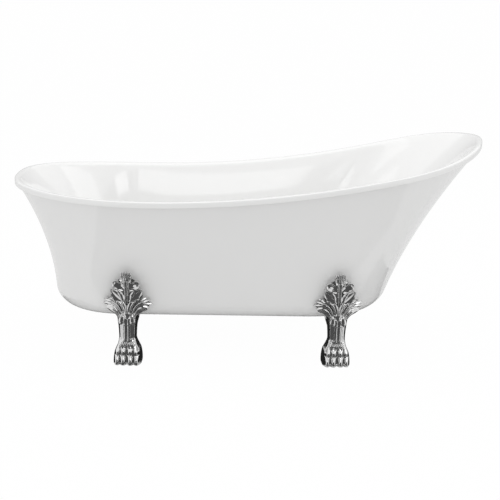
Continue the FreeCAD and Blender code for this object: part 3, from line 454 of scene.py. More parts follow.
basin_outline = outline(foot_tip + basin_foot_in, head_tip - basin_head_in, tub_half - basin_side_in,
                        basin_foot_end, basin_head_end, basin_power, basin_power, basin_power)


def roll_angle(k):
    """How far the rim's shoulder turns before it meets the wall."""
    inner = rim_point(k, lip_radius + rim_flat + shoulder_radius, shoulder_radius / 2)
    start = basin_outline[k][0]
    run = math.hypot(inner.x - start.x, inner.y - start.y)
    lean = (2 - wall_flare(basin_flares, k)) * run / (inner.z - floor_z - floor_rise(start.x))
    return math.pi / 2 - math.atan(lean)


roll_angles = [roll_angle(k) for k in stations]


def shoulder_ring(share):
    """Ring of the soft shoulder, from the rim's flat at 0 to the wall at 1."""
    ring = []
    for k in stations:
        angle = roll_angles[k] * share
        ring.append(rim_point(k, lip_radius + rim_flat + shoulder_radius * math.sin(angle),
                              shoulder_radius * (1 - math.cos(angle))))
    return ring


def lip_ring(share):
    """Ring of the lip's rounding, from the rim's flat at 0 to the upright edge at 1."""
    angle = math.pi / 2 * share
    return rim_ring(lip_radius * (1 - math.sin(angle)), lip_radius * (1 - math.cos(angle)))


def grown(base, amount):
    """Outline moved outward by an amount."""
    return [(p + n * amount, n) for p, n in base]


def make_bath():
    """The bath's shell, with its openings for the waste and the overflow."""
    top = shoulder_ring(1.0)
    shoulder_steps, lip_steps = 10, 8
    inside = wall_rings(basin_outline, top, basin_flares, floor_z, 1.0, basin_radius,
                        edge_steps=12, wall_steps=32)
    rings = flat_rings(inside[0], floor_z, 1.0, steps=10) + inside
    rings += [shoulder_ring(1.0 - i / shoulder_steps) for i in range(shoulder_steps + 1)]
    rings += [lip_ring(i / lip_steps) for i in range(lip_steps + 1)]
    rings.append(rim_ring(0.0, lip_height - lip_edge))
    rings.append(rim_ring(lip_edge / 3, lip_height - lip_edge / 3))
    rings.append(rim_ring(lip_edge, lip_height))
    hidden_top = rim_ring(basin_lip_wall, lip_height)
    hidden = wall_rings(grown(basin_outline, basin_wall), hidden_top, basin_flares, under_z, 1.0,
                        basin_radius + basin_wall, edge_steps=6, wall_steps=10)
    rings.append(hidden_top)
    rings += list(reversed(hidden))
    rings += list(reversed(flat_rings(hidden[0], under_z, 1.0, steps=3)))
    bath = ring_object("bath", rings)
    turn_outward(bath)
    below, above = (waste_x, 0, under_z - cut_past), (waste_x, 0, floor_z + cut_past)
    carve(bath, [rod("waste_hole", waste_bore, below, above, hole_sides),
                 rod("flange_seat", flange_seat, (waste_x, 0, floor_z - flange_sink), above, hole_sides),
                 rod("gasket_seat", gasket_seat, below, (waste_x, 0, under_z + gasket_sink), hole_sides),
                 rod("overflow_hole", overflow_bore, overflow_centre - overflow_axis * cut_past,
                     overflow_centre + overflow_axis * cut_past, hole_sides),
                 rod("overflow_seat", overflow_seat, overflow_back - overflow_back_axis * seat_past,
                     overflow_back, hole_sides)])
    keep_edges(bath, 40)
    return bath


def noise(tree, scale, detail=2.0, place=None):
    """Noise texture in the piece's own space, in bumps per metre."""
    where = place or add(tree, "ShaderNodeTexCoord").outputs["Object"]
    return add(tree, "ShaderNodeTexNoise", {"Vector": where, "Scale": scale, "Detail": detail})


def between(tree, factor, low, high):
    """Value that runs from low to high as a factor runs from 0 to 1."""
    return add(tree, "ShaderNodeMapRange", {"Value": factor, "To Min": low, "To Max": high}).outputs[0]


def shades(tree, factor, dark, light):
    """Colour that runs from dark to light with a factor."""
    mix = add(tree, "ShaderNodeMix", {0: factor}, data_type="RGBA")
    mix.inputs[6].default_value = (*dark, 1.0)
    mix.inputs[7].default_value = (*light, 1.0)
    return mix.outputs[2]


def bump(tree, height, depth, scale=1.0):
    """Bump from a height texture, its depth in metres."""
    return add(tree, "ShaderNodeBump", {"Height": height, "Strength": scale, "Distance": depth}).outputs[0]


def acrylic(name, tone):
    """Cast acrylic sheet: a deep gloss, the faint waviness of forming and tiny changes of tone."""
    paint = bpy.data.materials.new(name)
    tree = node_tree(paint)
    broad = noise(tree, 2.2, 2.0)
    fine = noise(tree, 180.0, 2.0)
    colour = shades(tree, broad.outputs["Fac"], [t * 0.985 for t in tone], tone)
    gloss = between(tree, noise(tree, 9.0, 3.0).outputs["Fac"], 0.035, 0.075)
    wave = bump(tree, broad.outputs["Fac"], 0.4 * mm, 0.6)
    skin = add(tree, "ShaderNodeBump", {"Height": fine.outputs["Fac"], "Strength": 0.05,
                                        "Distance": 0.01 * mm, "Normal": wave}).outputs[0]
    shader = add(tree, "ShaderNodeBsdfPrincipled",
                 {"Base Color": colour, "Roughness": gloss, "IOR": 1.49, "Normal": skin})
    add(tree, "ShaderNodeOutputMaterial", {"Surface": shader.outputs[0]})
    return paint


bath_white = acrylic("bath_white", (0.905, 0.905, 0.9))
bath = make_bath()
bath.data.materials.append(bath_white)
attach(bath, "tub")
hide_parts("basin")

# ---------------------------------------------------------------- the outer skin
# A second formed sheet that flares up from a rounded bottom edge to the lip, bonded to the
# bath's rim. It hides the frame and gives the tub its smooth outside.
skirt_base, skirt_wall = 156 * mm, 5 * mm
skirt_foot_in, skirt_head_in, skirt_side_in = 143 * mm, 346 * mm, 78 * mm
skirt_foot_end, skirt_head_end, skirt_power = 268 * mm, 303 * mm, 2.2
skirt_radius = 58 * mm
skirt_flares = (-0.12, 0.57, 0.79)
lip_overhang = 12 * mm
waste_opening, bolt_opening = 45 * mm, 4.4 * mm
foot_splay = math.radians(3)
foot_turns = {"front_left": -foot_splay, "front_right": foot_splay,
              "back_left": math.pi + foot_splay, "back_right": math.pi - foot_splay}
bolts_inboard = (120 * mm, 150 * mm)
skirt_outline = outline(foot_tip + skirt_foot_in, head_tip - skirt_head_in, tub_half - skirt_side_in,
                        skirt_foot_end, skirt_head_end, skirt_power, skirt_power, skirt_power)


def foot_place(corner):
    """Middle of a foot on the floor, over its pad."""
    low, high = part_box("leveller_pad_" + corner)
    return Vector(((low.x + high.x) / 2, (low.y + high.y) / 2, 0))


def bottom_hole(name, radius, place, sides=48):
    """Tool for a hole through the skin's bottom."""
    lift = Vector((0, 0, seat_past))
    middle = Vector((place.x, place.y, skirt_base))
    return rod(name, radius, middle - lift, middle + lift, sides)


def make_skin():
    """The outer skin, with its openings for the waste and for the feet's bolts."""
    top = rim_ring(lip_overhang, lip_height)
    outside = wall_rings(skirt_outline, top, skirt_flares, skirt_base, 0.0, skirt_radius,
                         edge_steps=12, wall_steps=36)
    lining_top = rim_ring(lip_overhang + skirt_wall, lip_height)
    inside = wall_rings(grown(skirt_outline, -skirt_wall), lining_top, skirt_flares,
                        skirt_base + skirt_wall, 0.0, skirt_radius - skirt_wall, edge_steps=4, wall_steps=8)
    rings = flat_rings(outside[0], skirt_base, 0.0, steps=6) + outside + [top, lining_top]
    rings += list(reversed(inside))
    rings += list(reversed(flat_rings(inside[0], skirt_base + skirt_wall, 0.0, steps=3)))
    skin = ring_object("outer_skin", rings)
    turn_outward(skin)
    holes = [bottom_hole("waste_opening", waste_opening, Vector((waste_x, 0, 0)), hole_sides)]
    for corner, turn in foot_turns.items():
        for inboard in bolts_inboard:
            place = foot_place(corner) + Matrix.Rotation(turn, 3, "Z") @ Vector((0, inboard, 0))
            holes.append(bottom_hole("bolt_opening", bolt_opening, place))
    carve(skin, holes)
    keep_edges(skin, 40)
    return skin


# the skin's white is set darker than the bath's: painted shade for the lesser light that falls on the tub's
# outside
shaded_skin_white = acrylic("shaded_skin_white", (0.845, 0.845, 0.84))
skin = make_skin()
skin.data.materials.append(shaded_skin_white)
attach(skin, "tub")
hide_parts("outer_skirt")

# ---------------------------------------------------------------- the claw feet
# Four hollow chromed castings, each a lion's paw, a ribbed ankle and an acanthus leaf that hugs the
# tub, with a flange behind that is bolted up into the frame. Sizes with no unit are millimetres.
foot_middle, rim_over_foot = 318 * mm, 5 * mm
leaf_half, leaf_drop, leaf_stand, leaf_gap = 86.0, 20.0, 28.5, 1.5
flange_z, flange_thick, flange_end, flange_half = 145 * mm, 11 * mm, 138 * mm, 28 * mm
web_thick, web_foot, web_sink = 6 * mm, 122.5 * mm, 1 * mm
hollow_low, hollow_high = Vector((-20, -18, 88)) * mm, Vector((20, 90, 134)) * mm
screw_bore, screw_bore_top = 5.06 * mm, 62 * mm
pad_room, pad_room_top = 18 * mm, 15.8 * mm
around_steps, ring_pitch, paw_bottom, column_top = 240, 1.6, 2.0, 240.0
half_keys = [(2, 48.5), (10, 49), (30, 47.5), (48, 44), (60, 38.5), (70, 34.5), (80, 32), (88, 31),
             (94, 30.5), (99, 30.5), (116, 31.3), (138, 33), (150, 34.5), (163, 36), (178, 39), (197, 43),
             (222, 42), (240, 30)]
front_keys = [(2, 38), (10, 40), (22, 40), (48, 39), (62, 37), (74, 35), (84, 32), (92, 30), (99, 29),
              (118, 30), (140, 32), (156, 33), (172, 32), (186, 30), (200, 27), (214, 25)]
back_keys = [(2, 45), (20, 50), (48, 50), (62, 47), (74, 42), (84, 35), (92, 31), (99, 29), (160, 31),
             (240, 31)]
square_keys = [(2, 5.0), (60, 4.8), (84, 3.4), (99, 2.7), (240, 2.5)]
toe_places = (-35, -12.6, 12.6, 35)
knuckle_spread = 0.94
knuckle_places = [knuckle_spread * place for place in toe_places]
toe_half, claw_half, knuckle_half = 9.2, 4.2, 8.2
toe_keys = [(0, 8), (3, 12), (6, 14), (12, 13.5), (20, 11), (28, 7), (34, 3.5), (38, 1.5)]
knuckle_keys = [(38, 1.5), (42, 6), (46, 8), (52, 7), (60, 3), (66, 1), (69, 0)]
claw_keys = [(0, 9), (3, 12), (9, 13), (14, 12), (18, 8)]
fur_height, fur_rows = 1.28, ((39, 5), (78, 9))
ankle_low, ankle_blend = 84.0, 6.0
rib_out, rib_half, rib_rise, rib_top, rib_fade = 7.0, 5.6, 3.4, 190.0, 20.0
flute_out, flute_depth, flute_width = 20.0, 1.6, 3.0
step_low, step_high, step_half, step_rise = 145.0, 172.0, 12.0, 1.8
relief_edge, relief_blend = 0.72, 0.2
leaf_hugs, leaf_grows, leaf_stretch, knee_sink = 214.0, 240.0, 0.085, 3.0


def along(keys, place):
    """Smooth value at a place, through a list of (place, value) pairs."""
    if place <= keys[0][0]:
        return keys[0][1]
    if place >= keys[-1][0]:
        return keys[-1][1]
    i = max(j for j in range(len(keys) - 1) if keys[j][0] <= place)
    slopes = []
    for j in (i, i + 1):
        before, after = keys[max(j - 1, 0)], keys[min(j + 1, len(keys) - 1)]
        slopes.append((after[1] - before[1]) / (after[0] - before[0]))
    (low, start), (high, stop) = keys[i], keys[i + 1]
    width = high - low
    s = (place - low) / width
    return ((2 * s ** 3 - 3 * s ** 2 + 1) * start + (s ** 3 - 2 * s ** 2 + s) * width * slopes[0]
            + (3 * s ** 2 - 2 * s ** 3) * stop + (s ** 3 - s ** 2) * width * slopes[1])


def skin_reach(z):
    """The outer skin's straight side at a height in millimetres, out from a foot's middle."""
    share = max(0.0, z * mm - skirt_base) / (rim_low_z + rim_over_foot - lip_height - skirt_base)
    low, high = tub_half - skirt_side_in, tub_half - lip_overhang
    spread = skirt_flares[2] * share + (1 - skirt_flares[2]) * share ** 2
    over = min(skirt_radius, max(0.0, skirt_radius - (z * mm - skirt_base)))
    inset = skirt_radius - math.sqrt(skirt_radius ** 2 - over ** 2)
    return (low + (high - low) * spread - inset - foot_middle) / mm


def leaf_reach(x, z):
    """Front of the leaf's ground at a place across and up, out from the foot's middle, in millimetres."""
    ground = along(front_keys, z) if z < leaf_hugs else skin_reach(z) + leaf_stand
    return ground - leaf_drop * (x / leaf_half) ** 2


def clear_of_skin(x, out, z):
    """The same reach, or more where that would touch the tub."""
    if z * mm < skirt_base:
        return out
    return max(out, skin_reach(z) + abs(x) * math.tan(foot_splay) + leaf_gap)


def bump_over(x, z, places, keys, half):
    """Rise of a row of rounded bumps over the paw's front at a place."""
    if not keys[0][0] <= z < keys[-1][0]:
        return 0.0
    rise = 0.0
    for place in places:
        share = (x - place) / half
        if abs(share) < 1:
            rise = max(rise, along(keys, z) * math.sqrt(1 - share ** 2))
    return rise


def paw_relief(x, z):
    """Toes with claws, knuckles over them and tufts of fur between and above."""
    toes = bump_over(x, z, toe_places, toe_keys, toe_half)
    claws = bump_over(x, z, toe_places, claw_keys, claw_half)
    knuckles = bump_over(x, z, knuckle_places, knuckle_keys, knuckle_half)
    fur = math.sin(x + 1.8 * math.sin(0.4 * z)) * math.sin(0.7 * z + 0.6 * math.sin(0.6 * x))
    fur *= sum(math.exp(-((z - row) / spread) ** 2) for row, spread in fur_rows)
    return max(toes, claws, knuckles) + fur_height * fur


def ankle_relief(x, z):
    """Two ribs up the front, a flute beside each and the step they end in."""
    rise = 0.0
    for rib in (-rib_out, rib_out):
        share = (x - rib) / rib_half
        if abs(share) < 1:
            rise = max(rise, rib_rise * math.sqrt(1 - share ** 2))
    for flute in (-flute_out, flute_out):
        rise -= flute_depth * math.exp(-((x - flute) / flute_width) ** 2)
    grown_in = min(1.0, max(0.0, (z - ankle_low) / ankle_blend))
    step = step_rise if step_low < z < step_high and abs(x) < step_half else 0.0
    return rise * grown_in * min(1.0, max(0.0, (rib_top - z) / rib_fade)) + step


def column_point(angle, z):
    """Point of the paw, ankle and knee at a height, going round from the right side over the front."""
    c, s = math.cos(angle), math.sin(angle)
    power = along(square_keys, z)
    reach = (abs(c) ** power + abs(s) ** power) ** (-1 / power)
    x = along(half_keys, z) * reach * c
    if s < 0:
        return x, clear_of_skin(x, along(back_keys, z) * reach * s, z), z
    facing = min(1.0, max(0.0, (reach * s - relief_edge) / relief_blend))
    relief = paw_relief(x, z) if z < ankle_low + ankle_blend else 0.0
    relief += ankle_relief(x, z) if z > ankle_low else 0.0
    front = along(front_keys, z) if z < leaf_hugs else leaf_reach(0, z) - knee_sink
    return x, clear_of_skin(x, front * reach * s + relief * facing, z), z


def slab(front, back, verts, faces):
    """Add a closed slab between two equal grids of (x, out, z) points to a mesh's lists."""
    rows, count = len(front), len(front[0])
    start = len(verts)
    verts += [p for row in front for p in row]
    faces += grid_faces(count, rows, False, start)
    under = len(verts)
    verts += [p for row in back for p in row]
    faces += [tuple(reversed(f)) for f in grid_faces(count, rows, False, under)]
    rim = [k for k in range(count)]
    rim += [r * count + count - 1 for r in range(1, rows)]
    rim += [(rows - 1) * count + k for k in range(count - 2, -1, -1)]
    rim += [r * count for r in range(rows - 2, 0, -1)]
    for i, a in enumerate(rim):
        b = rim[(i + 1) % len(rim)]
        faces.append((start + b, start + a, under + a, under + b))


def leaf_point(x, z, lift):
    """Point that stands a lift off the leaf's ground, the top of the leaf drawn out a little."""
    z += leaf_stretch * max(0.0, z - leaf_grows)
    return (x, clear_of_skin(x, leaf_reach(x, z) + lift, z), z)


def leaf_slab(grid, verts, faces):
    """Slab of the leaf from a grid of (across, up, lift) points, its back on the leaf's ground."""
    thick = 4.0
    front = [[leaf_point(x, z, lift) for x, z, lift in row] for row in grid]
    back = [[leaf_point(x, z, min(lift - thick, -thick)) for x, z, lift in row] for row in grid]
    slab(front, back, verts, faces)


def petal(side, path, halves, lifts, verts, faces, cup=0.0, vein=0.0, teeth=0, bite=0.0):
    """One petal along a curved middle line, cupped or domed across, with a vein and toothed edges."""
    steps, across = 30, 12
    (x0, z0), (x1, z1), (x2, z2) = path
    grid = []
    for i in range(steps + 1):
        u = i / steps
        x = (1 - u) ** 2 * x0 + 2 * u * (1 - u) * x1 + u ** 2 * x2
        z = (1 - u) ** 2 * z0 + 2 * u * (1 - u) * z1 + u ** 2 * z2
        dx = 2 * (1 - u) * (x1 - x0) + 2 * u * (x2 - x1)
        dz = 2 * (1 - u) * (z1 - z0) + 2 * u * (z2 - z1)
        size = math.hypot(dx, dz)
        half = along(halves, u)
        tooth = 1 - bite * (1 - (u * teeth) % 1.0) ** 2 if teeth else 1.0
        row = []
        for j in range(-across // 2, across // 2 + 1):
            v = 2 * j / across
            width = half * v * (1 + (tooth - 1) * v * v)
            lift = along(lifts, u) + cup * v * v + vein * math.exp(-(v / 0.22) ** 2)
            row.append((side * (x - dz / size * width), z + dx / size * width, lift))
        grid.append(row)
    leaf_slab(grid, verts, faces)


def fan(side, centre, tips, lifts, notch, flute, verts, faces):
    """Lobe with pointed teeth round a centre: each tooth is a ridge and each notch a valley."""
    steps, per_tooth, inner = 14, 8, 2.0
    marks = []
    for (first, reach), (second, far) in zip(tips, tips[1:]):
        for j in range(per_tooth):
            share = j / per_tooth
            marks.append((first + (second - first) * share, reach + (far - reach) * share, share))
    marks.append((tips[-1][0], tips[-1][1], 0.0))
    grid = []
    for angle, reach, share in marks:
        valley = 1 - abs(2 * share - 1)
        edge = reach * (1 - notch * valley ** 0.8)
        row = []
        for i in range(steps + 1):
            u = i / steps
            r = inner + (edge - inner) * u
            x = centre[0] + r * math.cos(math.radians(angle))
            z = centre[1] + r * math.sin(math.radians(angle))
            row.append((side * x, z, along(lifts, u) - flute * valley * u ** 0.7))
        grid.append(row)
    leaf_slab(grid, verts, faces)


def leaf_blade(verts, faces):
    """The blade that all the lobes stand on, with shallow folds that fan out from the ankle."""
    edge = [(172, 26), (180, 33), (190, 52), (200, 64), (210, 74), (220, 78), (230, 73), (240, 58), (247, 48),
            (254, 45), (264, 50), (272, 47), (279, 38), (285, 31), (292, 37), (299, 38), (305, 27), (311, 18),
            (324, 16)]
    low, pitch, rows, across = edge[0][0], 2, 77, 24
    folds, fold_root = 11, 176
    grid = []
    for i in range(rows):
        z = low + pitch * i
        half = along(edge, z)
        row = []
        for j in range(-across, across + 1):
            x = half * j / across
            fold = math.cos(folds * math.atan2(z - fold_root, abs(x) + 1e-6))
            row.append((x, z, 1.0 + 1.6 * fold - 2.0 * (j / across) ** 2))
        grid.append(row)
    leaf_slab(grid, verts, faces)


def crown(verts, faces):
    """Fluted top of the leaf with five rounded tips."""
    tips, low, steps, across = 5, 296, 20, 30
    grid = []
    for i in range(steps + 1):
        u = i / steps
        half = along([(0, 13.5), (0.25, 15.5), (0.6, 18.5), (0.9, 19.5), (1, 18.5)], u)
        curl = along([(0, 0), (0.5, 0), (0.8, 5), (1, 2)], u)
        row = []
        for j in range(-across, across + 1):
            v = j / across
            lobe = abs(math.cos(tips / 2 * math.pi * v)) ** 0.4
            z = low + u * (34 + 5 * lobe - 5 * v * v)
            row.append((half * v, z, 8 + 4.5 * lobe * u + curl - 4 * v * v))
        grid.append(row)
    leaf_slab(grid, verts, faces)


def midrib(verts, faces):
    """Two round ribs side by side up the middle of the leaf."""
    low, length, steps, across = 224, 76, 30, 20
    grid = []
    for i in range(steps + 1):
        u = i / steps
        half = along([(0, 4), (0.1, 6.5), (0.5, 8.5), (1, 9.5)], u)
        row = []
        for j in range(-across, across + 1):
            v = j / across
            row.append((half * v, low + length * u, 6 + 5 * abs(math.sin(math.pi * v)) ** 0.7))
        grid.append(row)
    leaf_slab(grid, verts, faces)


def leaf_parts():
    """Points and faces of the leaf. A petal has its middle line, its half widths and its lifts along it."""
    verts, faces = [], []
    leaf_blade(verts, faces)
    for side in (1, -1):
        # the toothed side lobe, from angles and reaches of its teeth round its centre
        fan(side, (34, 219), [(-60, 24), (-20, 44), (0, 53), (17, 51), (36, 44), (58, 42), (95, 26)],
            [(0, 9), (0.55, 9), (1, 6)], 0.3, 1.6, verts, faces)
        # the scroll under the side lobe
        petal(side, [(26, 172), (38, 212), (74, 203)], [(0, 5), (0.35, 9), (0.7, 11), (0.92, 7), (1, 3)],
              [(0, 6), (0.5, 11), (1, 6)], verts, faces, cup=-5.0, vein=-1.5)
        # the broad upper lobe and the small one over it
        petal(side, [(10, 232), (23, 252), (54, 273)], [(0, 8), (0.35, 19), (0.7, 18), (0.92, 9), (1, 1)],
              [(0, 8), (0.5, 10), (1, 12)], verts, faces, cup=4.5, vein=3.0, teeth=3, bite=0.14)
        petal(side, [(8, 274), (24, 290), (47, 296)], [(0, 8), (0.35, 14), (0.7, 14), (0.92, 8), (1, 1)],
              [(0, 7), (0.4, 7), (0.8, 15), (1, 12)], verts, faces, cup=5.0, teeth=2, bite=0.14)
        # the slim domed petals between the lobes
        petal(side, [(14, 236), (19, 258), (36, 280)], [(0, 4), (0.5, 9), (1, 0.6)],
              [(0, 12), (0.6, 16), (1, 13)], verts, faces, cup=-6.0)
        petal(side, [(11, 198), (16, 224), (43, 243)], [(0, 3), (0.5, 5.5), (1, 1)],
              [(0, 13), (0.5, 15), (1, 12)], verts, faces, cup=-5.0)
        petal(side, [(21, 193), (30, 217), (58, 233)], [(0, 3.5), (0.5, 6), (1, 1)],
              [(0, 11), (0.5, 14), (1, 10)], verts, faces, cup=-5.0)
        petal(side, [(3, 190), (7, 216), (20, 239)], [(0, 2.5), (0.4, 8), (0.8, 6), (1, 0.6)],
              [(0, 15), (0.5, 15), (1, 9)], verts, faces, cup=-6.0)
        # the petal that hangs down over the top of the ankle
        petal(side, [(18, 184), (19, 166), (21, 148)], [(0, 5), (0.4, 8), (0.8, 8), (1, 4)],
              [(0, 1), (0.5, 6), (0.9, 8), (1, 6)], verts, faces, cup=-3.0)
    # the boss in the middle, where the petals meet
    petal(1, [(0, 166), (0, 186), (0, 209)], [(0, 2), (0.35, 11), (0.6, 11), (1, 1)],
          [(0, 6), (0.5, 12), (1, 14)], verts, faces, cup=-5.0)
    midrib(verts, faces)
    crown(verts, faces)
    return [(x * mm, -out * mm, z * mm) for x, out, z in verts], faces


def make_column():
    """Paw, ankle and knee, hollowed behind the shin and bored for the levelling screw."""
    verts = []
    heights = [paw_bottom + ring_pitch * i for i in range(int((column_top - paw_bottom) / ring_pitch) + 1)]
    for z in heights:
        verts += [column_point(2 * math.pi * k / around_steps, z) for k in range(around_steps)]
    faces = grid_faces(around_steps, len(heights), True)
    faces += [tuple(reversed(range(around_steps))), tuple(range(len(verts) - around_steps, len(verts)))]
    column = mesh_object("claw_foot_column", [(x * mm, -out * mm, z * mm) for x, out, z in verts], faces)
    turn_outward(column)
    carve(column, [bar("hollow", hollow_low, hollow_high),
                   rod("screw_bore", screw_bore, (0, 0, -seat_past), (0, 0, screw_bore_top)),
                   rod("pad_room", pad_room, (0, 0, -seat_past), (0, 0, pad_room_top))])
    return column


def make_flange():
    """Flange with its rounded end, webs and bolt holes."""
    half, low, high = flange_half, flange_z, flange_z + flange_thick
    flange = bar("flange", (-half, 0, low), (half, flange_end, high))
    webs = []
    for side in (-1, 1):
        outer, inner = side * half, side * (half - web_thick)
        web_outline = [(0, web_foot), (0, low + web_sink), (flange_end, low + web_sink), (flange_end, low)]
        verts = [(x, y, z) for x in (outer, inner) for y, z in web_outline]
        web = mesh_object("web", verts, grid_faces(4, 2, True) + [(3, 2, 1, 0), (4, 5, 6, 7)], smooth=False)
        turn_outward(web)
        webs.append(web)
    carve(flange, [rod("flange_end", half, (0, flange_end, low), (0, flange_end, high), 64)] + webs, "UNION")
    below, above = low - seat_past, high + seat_past
    carve(flange, [rod("bolt_hole", bolt_opening, (0, inboard, below), (0, inboard, above))
                   for inboard in bolts_inboard])
    return flange


def plated_chrome():
    """Chrome over a cast and polished surface: soft dips that shift its tone a little, and fine polishing
    haze.
    """
    paint = bpy.data.materials.new("plated_chrome")
    tree = node_tree(paint)
    dips = noise(tree, 60.0, 3.0)
    haze = noise(tree, 400.0, 2.0)
    rough = between(tree, haze.outputs["Fac"], 0.05, 0.14)
    colour = shades(tree, dips.outputs["Fac"], (0.68, 0.68, 0.675), (0.8, 0.8, 0.8))
    soft = bump(tree, dips.outputs["Fac"], 0.6 * mm, 0.5)
    shader = add(tree, "ShaderNodeBsdfPrincipled",
                 {"Base Color": colour, "Metallic": 1.0, "Roughness": rough, "Normal": soft})
    add(tree, "ShaderNodeOutputMaterial", {"Surface": shader.outputs[0]})
    return paint


def make_casting():
    """One foot's whole mesh in its own frame, front to -Y."""
    leaf_verts, leaf_faces = leaf_parts()
    leaf = mesh_object("claw_foot_leaf", leaf_verts, leaf_faces)
    turn_outward(leaf)
    parts = [make_column(), leaf, make_flange()]
    work = bmesh.new()
    for part in parts:
        part.data.materials.clear()
        work.from_mesh(part.data)
        bpy.data.objects.remove(part)
    casting = bpy.data.meshes.new("claw_foot")
    work.to_mesh(casting)
    work.free()
    return casting


casting = make_casting()
casting.materials.append(plated_chrome())
for corner, turn in foot_turns.items():
    foot = bpy.data.objects.new("claw_foot_" + corner, casting)
    scene.collection.objects.link(foot)
    foot.location = foot_place(corner)
    foot.rotation_euler = (0, 0, turn)
    keep_edges(foot, 50)
    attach(foot, "tub")
    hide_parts("foot_" + corner)


def wood(name, dark, light, grain, ply=0.0):
    """Planed wood: growth rings stretched along the grain, fine pores, and plies where it is plywood."""
    paint = bpy.data.materials.new(name)
    tree = node_tree(paint)
    place = add(tree, "ShaderNodeTexCoord").outputs["Object"]
    stretched = add(tree, "ShaderNodeMapping", {"Vector": place, "Scale": grain}).outputs[0]
    rings = add(tree, "ShaderNodeTexWave", {"Vector": stretched, "Scale": 9.0, "Distortion": 5.0,
                                            "Detail": 3.0})
    pores = noise(tree, 260.0, 4.0, stretched)
    mixed = add(tree, "ShaderNodeMath", {0: rings.outputs["Fac"], 1: pores.outputs["Fac"]},
                operation="MULTIPLY")
    colour = shades(tree, mixed.outputs[0], dark, light)
    if ply:
        plies = add(tree, "ShaderNodeTexWave", {"Vector": place, "Scale": ply}, bands_direction="Z")
        colour = add(tree, "ShaderNodeMix", {0: 0.25, 6: colour, 7: plies.outputs["Color"]}, data_type="RGBA",
                     blend_type="MULTIPLY").outputs[2]
    grooves = bump(tree, pores.outputs["Fac"], 0.15 * mm, 0.6)
    shader = add(tree, "ShaderNodeBsdfPrincipled",
                 {"Base Color": colour, "Roughness": 0.62, "Normal": grooves})
    add(tree, "ShaderNodeOutputMaterial", {"Surface": shader.outputs[0]})
    return paint


def dress(paint, *names):
    """Give CAD nodes their material."""
    for name in names:
        slots = nodes[name].data.materials
        if len(slots):
            for i in range(len(slots)):
                slots[i] = paint
        else:
            slots.append(paint)


dress(wood("birch_ply", (0.5, 0.36, 0.2), (0.72, 0.56, 0.36), (1.2, 9.0, 9.0), ply=110.0), "floor_board")
dress(wood("softwood", (0.42, 0.28, 0.16), (0.7, 0.53, 0.34), (9.0, 1.0, 9.0)),
      "bearer_foot_end", "bearer_head_end")


# ---------------------------------------------------------------- the fasteners and levelling screws
# Zinc-plated steel: bolts through the flanges into tee nuts, and a levelling screw with a lock
# nut up each foot. Each screw turns in a moulded rubber pad that stands on the floor.
def zinc(name):
    """Bright zinc plate: a fine spangle, faint iridescent clouds and soft scratches."""
    paint = bpy.data.materials.new(name)
    tree = node_tree(paint)
    place = add(tree, "ShaderNodeTexCoord").outputs["Object"]
    clouds = noise(tree, 45.0, 3.0, place)
    spangle = add(tree, "ShaderNodeTexVoronoi", {"Vector": place, "Scale": 420.0})
    colour = shades(tree, clouds.outputs["Fac"], (0.5, 0.5, 0.47), (0.66, 0.68, 0.7))
    rough = between(tree, spangle.outputs["Distance"], 0.24, 0.42)
    scratch = bump(tree, noise(tree, 900.0, 2.0, place).outputs["Fac"], 0.05 * mm, 0.4)
    shader = add(tree, "ShaderNodeBsdfPrincipled",
                 {"Base Color": colour, "Metallic": 1.0, "Roughness": rough, "Normal": scratch})
    add(tree, "ShaderNodeOutputMaterial", {"Surface": shader.outputs[0]})
    return paint


def rubber(name):
    """Moulded black rubber: dull, dusty in patches, with a fine grain."""
    paint = bpy.data.materials.new(name)
    tree = node_tree(paint)
    dust = noise(tree, 70.0, 4.0)
    colour = shades(tree, dust.outputs["Fac"], (0.018, 0.018, 0.018), (0.06, 0.058, 0.055))
    grain = bump(tree, noise(tree, 1400.0, 2.0).outputs["Fac"], 0.06 * mm, 0.5)
    rough = between(tree, dust.outputs["Fac"], 0.6, 0.85)
    shader = add(tree, "ShaderNodeBsdfPrincipled",
                 {"Base Color": colour, "Roughness": rough, "Normal": grain})
    add(tree, "ShaderNodeOutputMaterial", {"Surface": shader.outputs[0]})
    return paint


dress(zinc("zinc_plate"), "foot_bolts", "foot_washers", "t_nuts", "leveller_nuts",
      *["leveller_screw_" + corner for corner in foot_turns])
black_rubber = rubber("black_rubber")
dress(black_rubber, *["leveller_pad_" + corner for corner in foot_turns])


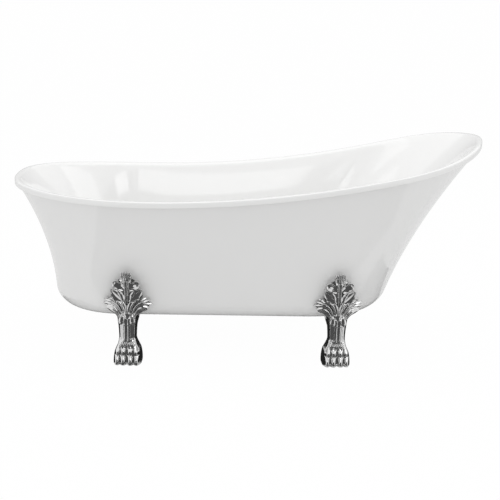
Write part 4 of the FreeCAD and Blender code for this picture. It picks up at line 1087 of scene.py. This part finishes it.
# ---------------------------------------------------------------- the waste and its plug
# A turned and chromed brass flange clamps the bath's floor between two rubber gaskets to a
# moulded tee. The mushroom plug clicks up and down on a sealed brass cartridge in its hub.
def turned(name, dark, light, low_rough, high_rough, centre, axis_turn):
    """Turned metal: rings left by the lathe round an axis, polished over, with a little haze."""
    paint = bpy.data.materials.new(name)
    tree = node_tree(paint)
    place = add(tree, "ShaderNodeTexCoord").outputs["Object"]
    local = add(tree, "ShaderNodeMapping", {"Vector": place, "Location": centre, "Rotation": axis_turn},
                vector_type="TEXTURE").outputs[0]
    lathe = add(tree, "ShaderNodeTexWave", {"Vector": local, "Scale": 260.0, "Distortion": 0.4},
                wave_type="RINGS", rings_direction="Z")
    haze = noise(tree, 120.0, 3.0, place)
    colour = shades(tree, haze.outputs["Fac"], dark, light)
    rough = between(tree, haze.outputs["Fac"], low_rough, high_rough)
    lines = bump(tree, lathe.outputs["Fac"], 0.02 * mm, 0.3)
    shader = add(tree, "ShaderNodeBsdfPrincipled",
                 {"Base Color": colour, "Metallic": 1.0, "Roughness": rough, "Normal": lines})
    add(tree, "ShaderNodeOutputMaterial", {"Surface": shader.outputs[0]})
    return paint


def moulded(name):
    """Injection-moulded white plastic: satin, with flow clouds and a fine spark-eroded grain."""
    paint = bpy.data.materials.new(name)
    tree = node_tree(paint)
    flow = noise(tree, 14.0, 3.0)
    colour = shades(tree, flow.outputs["Fac"], (0.74, 0.74, 0.71), (0.82, 0.82, 0.8))
    rough = between(tree, flow.outputs["Fac"], 0.34, 0.46)
    grain = bump(tree, noise(tree, 1600.0, 2.0).outputs["Fac"], 0.04 * mm, 0.5)
    shader = add(tree, "ShaderNodeBsdfPrincipled",
                 {"Base Color": colour, "Roughness": rough, "Normal": grain})
    add(tree, "ShaderNodeOutputMaterial", {"Surface": shader.outputs[0]})
    return paint


waste_place, upright = (waste_x, 0, floor_z), (0, 0, 0)
dress(turned("waste_chrome", (0.72, 0.72, 0.72), (0.82, 0.82, 0.82), 0.05, 0.12, waste_place, upright),
      "waste_flange", "plug_cap", "plug_stem", "tailpiece")
dress(turned("cartridge_brass", (0.6, 0.43, 0.17), (0.78, 0.6, 0.28), 0.2, 0.34, waste_place, upright),
      "plug_cartridge")
dress(black_rubber, "waste_gasket_upper", "waste_gasket_lower", "plug_seal", "slip_washer")
white_plastic = moulded("white_plastic")
dress(white_plastic, "waste_body", "slip_nut")

# ---------------------------------------------------------------- the overflow
# A chromed cover screwed through the bath's wall to a moulded elbow behind it. A bent plastic
# pipe runs from there between the two skins and under the floor to the tee.
overflow_turn = (0, math.atan2(overflow_axis.x, overflow_axis.z), 0)
dress(turned("overflow_chrome", (0.72, 0.72, 0.72), (0.82, 0.82, 0.82), 0.05, 0.12, tuple(overflow_centre),
             overflow_turn), "overflow_cover", "overflow_screw")
dress(black_rubber, "overflow_gasket")
dress(white_plastic, "overflow_elbow", "overflow_pipe")
